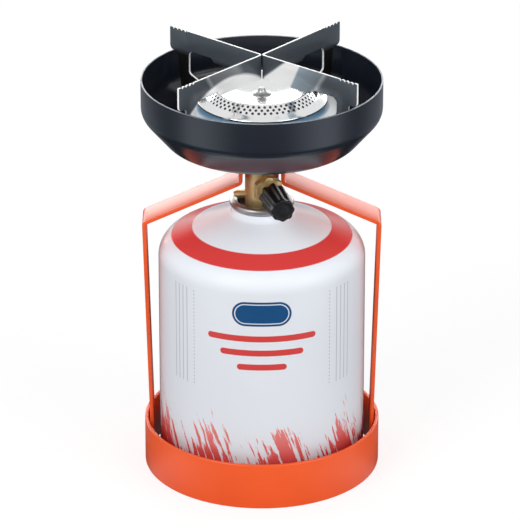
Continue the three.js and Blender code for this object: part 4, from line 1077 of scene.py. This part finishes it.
NUT_FLATS = 13.8
NUT_FROM = 9.75
NUT_L = 4.9
NUT_CHAMFER_W = 0.45
NUT_CHAMFER_L = 0.8
NECK_R = 4.6
NECK_L = 4.2
NECK_EDGE = 0.3
SPIGOT_R = 3.7
GLAND_SEAL_L = 1.65
SPINDLE_WAY_R = 1.9
nut_corner = NUT_FLATS / 2 / cos(pi / 6)
nut_face = NUT_FLATS / 2 - 0.2
nut_end = NUT_FROM + NUT_L
neck_end = nut_end + NECK_L
spigot_from = GLAND_BORE_FROM + GLAND_SEAL_L
gland = to_object("gland_turned", lathe([
    (SPINDLE_WAY_R, spigot_from),
    (SPIGOT_R, spigot_from),
    (SPIGOT_R, NUT_FROM),
    (nut_face, NUT_FROM),
    (nut_corner - NUT_CHAMFER_W, NUT_FROM + 0.3),
    (nut_corner, NUT_FROM + NUT_CHAMFER_L),
    (nut_corner, nut_end - NUT_CHAMFER_L),
    (nut_corner - NUT_CHAMFER_W, nut_end - 0.3),
    (nut_face, nut_end),
    (NECK_R, nut_end),
    (NECK_R, neck_end - NECK_EDGE),
    (NECK_R - NECK_EDGE, neck_end),
    (SPINDLE_WAY_R, neck_end),
], SMALL_STEPS, shape=hex_shape(NUT_FLATS)))
gland.data.transform(control_turn)
dress(gland, "stove", "brass", BRASS, stands_for=["gland_nut"], sharp_deg=30)

# Side plug: a hex head with a blunt point
PLUG_R = 2.2
PLUG_SHANK_R = 1.9
PLUG_NECK_R = 2.0
PLUG_Z = 151.8
PLUG_SEAT = 6.45
PLUG_END = 14.65
plug = to_object("plug_turned", lathe([
    (0, PLUG_SEAT),
    (PLUG_SHANK_R, PLUG_SEAT),
    (PLUG_SHANK_R, VALVE_R + SEAT_GAP),
    (PLUG_NECK_R, VALVE_R + SEAT_GAP),
    (PLUG_R, VALVE_R + 0.3),
    (PLUG_R, PLUG_END - 2.0),
    (PLUG_NECK_R, PLUG_END - 1.7),
    (1.3, PLUG_END - 0.2),
    (1.0, PLUG_END),
    (0, PLUG_END),
], SMALL_STEPS, closed=False, shape=hex_shape(PLUG_R * 2 * cos(pi / 6))))
plug.data.transform(Matrix.Translation((0, 0, PLUG_Z * MM)) @ Matrix.Rotation(-pi / 2, 4, "Y"))
dress(plug, "stove", "brass", BRASS, stands_for=["side_plug"], sharp_deg=30)

# Fluted knob with a shallow dished end
KNOB_FROM = 20.2
KNOB_L = 20.8
KNOB_R = 7.4
KNOB_END_R = 6.2
KNOB_EDGE = 0.9
KNOB_RECESS_R = 5.0
KNOB_BORE_R = 1.9
KNOB_BORE_END = 38.9
KNOB_FLUTES = 8
KNOB_FLUTE_DEPTH = 1.25
KNOB_RIDGE_SHARE = 0.1
FLUTE_FULL_SHARE = 0.7
FLUTE_END_SHARE = 0.3
FLUTE_IN_R = KNOB_END_R * 0.72
FLUTE_FULL_R = KNOB_END_R * 0.92
FLUTE_SHAPE = 1.2
KNOB_STEPS = 24
KNOB_ROUND_STEPS = 192
knob_end = KNOB_FROM + KNOB_L
full_end = KNOB_FROM + KNOB_L * FLUTE_FULL_SHARE


def flute(angle, radius, height):
    """Eight wide hollows with narrow ridges, only on the knob's outside and shallow at its end."""
    share = (angle * KNOB_FLUTES / TURN) % 1.0
    across = min(max((share - KNOB_RIDGE_SHARE) / (1 - 2 * KNOB_RIDGE_SHARE), 0), 1)
    outside = min(max((radius - FLUTE_IN_R) / (FLUTE_FULL_R - FLUTE_IN_R), 0), 1)
    to_end = min(max((height - full_end) / (knob_end - full_end), 0), 1)
    depth = KNOB_FLUTE_DEPTH * (1 - (1 - FLUTE_END_SHARE) * to_end ** 2)
    return radius - depth * outside * sin(pi * across) ** FLUTE_SHAPE


knob_profile = [
    (0, KNOB_BORE_END),
    (KNOB_BORE_R, KNOB_BORE_END),
    (KNOB_BORE_R, KNOB_FROM),
    (KNOB_RECESS_R, KNOB_FROM),
    (KNOB_R - 0.7, KNOB_FROM),
    (KNOB_R - 0.2, KNOB_FROM + 0.35),
]
for k in range(KNOB_STEPS + 1):
    share = k / KNOB_STEPS
    along = KNOB_FROM + KNOB_EDGE + (KNOB_L - KNOB_EDGE * 2) * share
    knob_profile.append((KNOB_R + (KNOB_END_R - KNOB_R) * share, along))
knob_profile += [
    (KNOB_END_R - 0.15, knob_end - 0.5),
    (KNOB_END_R - 0.5, knob_end - 0.16),
    (KNOB_END_R - 0.95, knob_end),
    (KNOB_END_R - 1.3, knob_end),
    (KNOB_END_R - 1.55, knob_end - 0.12),
    (KNOB_END_R - 1.8, knob_end - 0.45),
    (KNOB_END_R - 2.3, knob_end - 0.5),
    (2.4, knob_end - 0.5),
    (2.2, knob_end - 0.42),
    (1.9, knob_end - 0.4),
    (0, knob_end - 0.4),
]
knob = to_object("knob_moulded", lathe(knob_profile, KNOB_ROUND_STEPS, closed=False, shape=flute))
knob.data.transform(control_turn)
dress(knob, "knob", "black_plastic", KNOB, stands_for=["knob"], sharp_deg=40)

# Cartridge body
CAN_T = 0.9
CAN_SHOULDER_Z = 126.2
CAN_NECK_R = 15.9
CAN_NECK_BASE_Z = 141.9
CAN_SHOULDER_ROUND = 13.0
CAN_NECK_ROUND = 2.4
can_r, can_low, can_high = reach("can_body")
can_line = rounded([
    (can_r, can_low),
    (can_r, CAN_SHOULDER_Z, CAN_SHOULDER_ROUND),
    (CAN_NECK_R, CAN_NECK_BASE_Z, CAN_NECK_ROUND),
    (CAN_NECK_R, can_high),
], steps=12)
can = to_object("can_lacquered", lathe(sheet_section(can_line, CAN_T)))
dress(can, "cartridge", "white_paint", PRINTED, stands_for=["can_body"], sharp_deg=40)

# Cartridge bottom with its rolled seam
SEAM_T = 2.4
FOOT_RISE = 1.7
DOME_SAG = 1.75
DOME_ROUND = 30.0
seam_r, seam_low, dome_top = reach("can_bottom")
seam_high = can_low - SEAT_GAP
seam_in = seam_r - SEAM_T
foot_low = seam_low + FOOT_RISE
bottom = to_object("bottom_pressed", lathe(rounded([
    (0, dome_top - CAN_T),
    (can_r / 2, dome_top - CAN_T - DOME_SAG, DOME_ROUND),
    (seam_in - SEAM_T, foot_low, 1.2),
    (seam_in, foot_low, 0.3),
    (seam_in, seam_low, 0.7),
    (seam_r, seam_low, 1.1),
    (seam_r, seam_high, 1.0),
    (seam_in, seam_high, 0.4),
    (seam_in - SEAM_T, foot_low + CAN_T, 1.0),
    (can_r / 2, dome_top - DOME_SAG, DOME_ROUND),
    (0, dome_top),
]), closed=False))
dress(bottom, "cartridge", "tinplate", TIN, stands_for=["can_bottom"], sharp_deg=40)

# Mounting cup: a rolled curl, the cup's wall and floor, and the nipple
CUP_T = 0.95
CUP_WALL_R = 12.6
CUP_FLOOR_Z = 141.6
NIPPLE_R = 5.55
NIPPLE_TOP_Z = 150.7
NIPPLE_BORE_R = 2.0
CURL_HIGH_Z = 149.5
CURL_ROUND = 1.95
curl_r, cup_low, _ = reach("mounting_cup")
curl_low = can_high + SEAT_GAP * 2
cup = to_object("cup_rolled", lathe(rounded([
    (NIPPLE_BORE_R, cup_low),
    (CUP_WALL_R + CUP_T, cup_low, 1.6),
    (CUP_WALL_R + CUP_T, curl_low),
    (curl_r, curl_low, CURL_ROUND),
    (curl_r, CURL_HIGH_Z, CURL_ROUND),
    (CUP_WALL_R, CURL_HIGH_Z, CURL_ROUND),
    (CUP_WALL_R, CUP_FLOOR_Z, 1.2),
    (NIPPLE_R, CUP_FLOOR_Z, 0.6),
    (NIPPLE_R, NIPPLE_TOP_Z, 0.5),
    (NIPPLE_BORE_R, NIPPLE_TOP_Z, 0.3),
], closed=True)))
dress(cup, "cartridge", "tinplate", TIN, stands_for=["mounting_cup"], sharp_deg=40)

# Stem spring: a wound coil between the cartridge and its stem
SPRING_WIRE_R = 0.35
SPRING_TURNS = 5
SPRING_STEPS = 36
WIRE_SIDES = 12
spring_r, spring_low, spring_high = reach("stem_spring")
coil_r = spring_r - SPRING_WIRE_R
coil_low = spring_low + SPRING_WIRE_R
coil_high = spring_high - SPRING_WIRE_R
coil = bmesh.new()
coil_rings = []
for k in range(SPRING_TURNS * SPRING_STEPS + 1):
    share = k / (SPRING_TURNS * SPRING_STEPS)
    turn = TURN * SPRING_TURNS * share
    outward = heading(turn)
    centre = outward * coil_r + Vector((0, 0, coil_low + (coil_high - coil_low) * share))
    wire_ring = []
    for side in range(WIRE_SIDES):
        around = TURN * side / WIRE_SIDES
        offset = outward * cos(around) + Vector((0, 0, sin(around)))
        wire_ring.append(coil.verts.new((centre + offset * SPRING_WIRE_R) * MM))
    coil_rings.append(wire_ring)
for first, second in zip(coil_rings, coil_rings[1:]):
    for k in range(WIRE_SIDES):
        n = (k + 1) % WIRE_SIDES
        coil.faces.new((first[k], first[n], second[n], second[k]))
coil.faces.new(coil_rings[0])
coil.faces.new(coil_rings[-1])
bmesh.ops.recalc_face_normals(coil, faces=coil.faces)
spring = to_object("spring_wound", coil)
smooth(spring, 50)
spring.data.materials.append(TIN)
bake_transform(spring)
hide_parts("stem_spring")


# Floor, lamps and surroundings
FLOOR_R = 9.0
FLOOR_STEPS = 96
FLOOR_DROP = 0.0001
FLOOR_WHITE = (0.93, 0.93, 0.93, 1)
FLOOR_GLOW = 0.72
FLOOR_GLOW_LEVEL = 1.07
NEAR_FLOOR_R = 0.4
NEAR_FLOOR_DARK = (0.01, 0.01, 0.01)
NEAR_FLOOR_SHARES = (
    (0.0, 0.0), (0.1, 0.0), (0.2, 0.6), (0.32, 0.6),
    (0.42, 0.03), (0.62, 0.03), (0.85, 1.0),
)
# What the floor shows in reflections, from the front round to the back: share of a half turn, level
REFLECTED_TINT = (0.90, 0.97, 1.09)
REFLECTED_FLOOR = (
    (0.0, 0.10), (0.12, 0.14), (0.3, 1.15), (0.38, 1.05),
    (0.45, 0.30), (0.53, 0.12), (0.66, 0.30), (1.0, 0.3),
)
floor_mesh = bmesh.new()
bmesh.ops.create_circle(floor_mesh, cap_ends=True, segments=FLOOR_STEPS, radius=FLOOR_R)
floor = to_object("floor", floor_mesh)
floor.location.z = -FLOOR_DROP
look = Finish("floor", Base_Color=FLOOR_WHITE, Roughness=1.0, Specular_IOR_Level=0.0)
floor_angle = look.math("ABSOLUTE", look.math("ARCTAN2", look.x, look.product(look.y, -1.0)))
tinted = [(at, tuple(level * tint for tint in REFLECTED_TINT)) for at, level in REFLECTED_FLOOR]
mirrored = look.ramp(look.range(floor_angle, 0.0, pi), *tinted)
near_share = look.ramp(look.range(look.radius(), 0.0, NEAR_FLOOR_R), *NEAR_FLOOR_SHARES)
mirrored = look.blend(near_share, NEAR_FLOOR_DARK, mirrored)
ray = look.node("ShaderNodeLightPath").outputs
seen = look.math("MAXIMUM", ray["Is Camera Ray"], ray["Is Transmission Ray"])
glow_colour = look.blend(ray["Is Glossy Ray"], (1, 1, 1), mirrored)
glow = look.node("ShaderNodeEmission", Color=glow_colour, Strength=FLOOR_GLOW_LEVEL)
glow_share = look.math("MAXIMUM", look.product(seen, FLOOR_GLOW), ray["Is Glossy Ray"])
mixed = look.mix(glow_share, look.surface.outputs[0], glow.outputs[0])
look.put(look.output.inputs["Surface"], mixed)
floor.data.materials.append(look.material)

# Sky: plain white to the camera, and brighter low behind the stove in reflections
WORLD_FILL = 0.75
SKY_LEVEL = 1.0
SKY_BACK_BOOST = 4.8
SKY_BACK_Y = (0.55, 0.95)
SKY_LOW_Z = (0.29, 0.38)
SKY_SIDES_X = (-0.28, 0.28)
SKY_SIDE_LEVELS = (1.45, 0.9)
world = bpy.data.worlds.new("studio")
scene.world = world
world.use_nodes = True
sky = Tree(world.node_tree)
ray = sky.node("ShaderNodeLightPath").outputs
seen_way = sky.node("ShaderNodeTexCoord").outputs["Generated"]
way_x, way_y, way_z = sky.node("ShaderNodeSeparateXYZ", Vector=seen_way).outputs
low_sky = sky.range(way_z, *SKY_LOW_Z, 1.0, 0.0, soft=True)
side_sky = sky.range(way_x, *SKY_SIDES_X, *SKY_SIDE_LEVELS, soft=True)
back_sky = sky.range(way_y, *SKY_BACK_Y, 0.0, SKY_BACK_BOOST, soft=True)
boost = sky.math("MULTIPLY_ADD", back_sky, sky.math("MULTIPLY", low_sky, side_sky), SKY_LEVEL)
fill = sky.node("ShaderNodeBackground", Strength=WORLD_FILL).outputs[0]
plain = sky.node("ShaderNodeBackground").outputs[0]
reflected = sky.node("ShaderNodeBackground", Strength=boost).outputs[0]
seen = sky.math("MAXIMUM", ray["Is Camera Ray"], ray["Is Transmission Ray"])
all_rays = sky.mix(ray["Is Glossy Ray"], sky.mix(seen, fill, plain), reflected)
sky.node("ShaderNodeOutputWorld", Surface=all_rays)

LAMP_AIM = (0, 0, 0.12)
LAMPS = (
    ("key", (-1.3, -1.5, 1.5), 1.2, 1.2, 21.0),
    ("fill", (1.5, -1.2, 1.1), 1.4, 1.4, 14.0),
    ("back", (0, 2.1, 0.75), 2.2, 0.7, 8.0),
)
for lamp_name, at, width, height, power in LAMPS:
    lamp_data = bpy.data.lights.new(lamp_name, "AREA")
    lamp_data.shape = "RECTANGLE"
    lamp_data.size = width
    lamp_data.size_y = height
    lamp_data.energy = power
    lamp = linked(lamp_name, lamp_data)
    lamp.location = at
    lamp.rotation_euler = (Vector(LAMP_AIM) - Vector(at)).to_track_quat("-Z", "Y").to_euler()
    lamp.visible_camera = False
    lamp.visible_glossy = lamp_name != "back"

scene.view_settings.view_transform = "Standard"
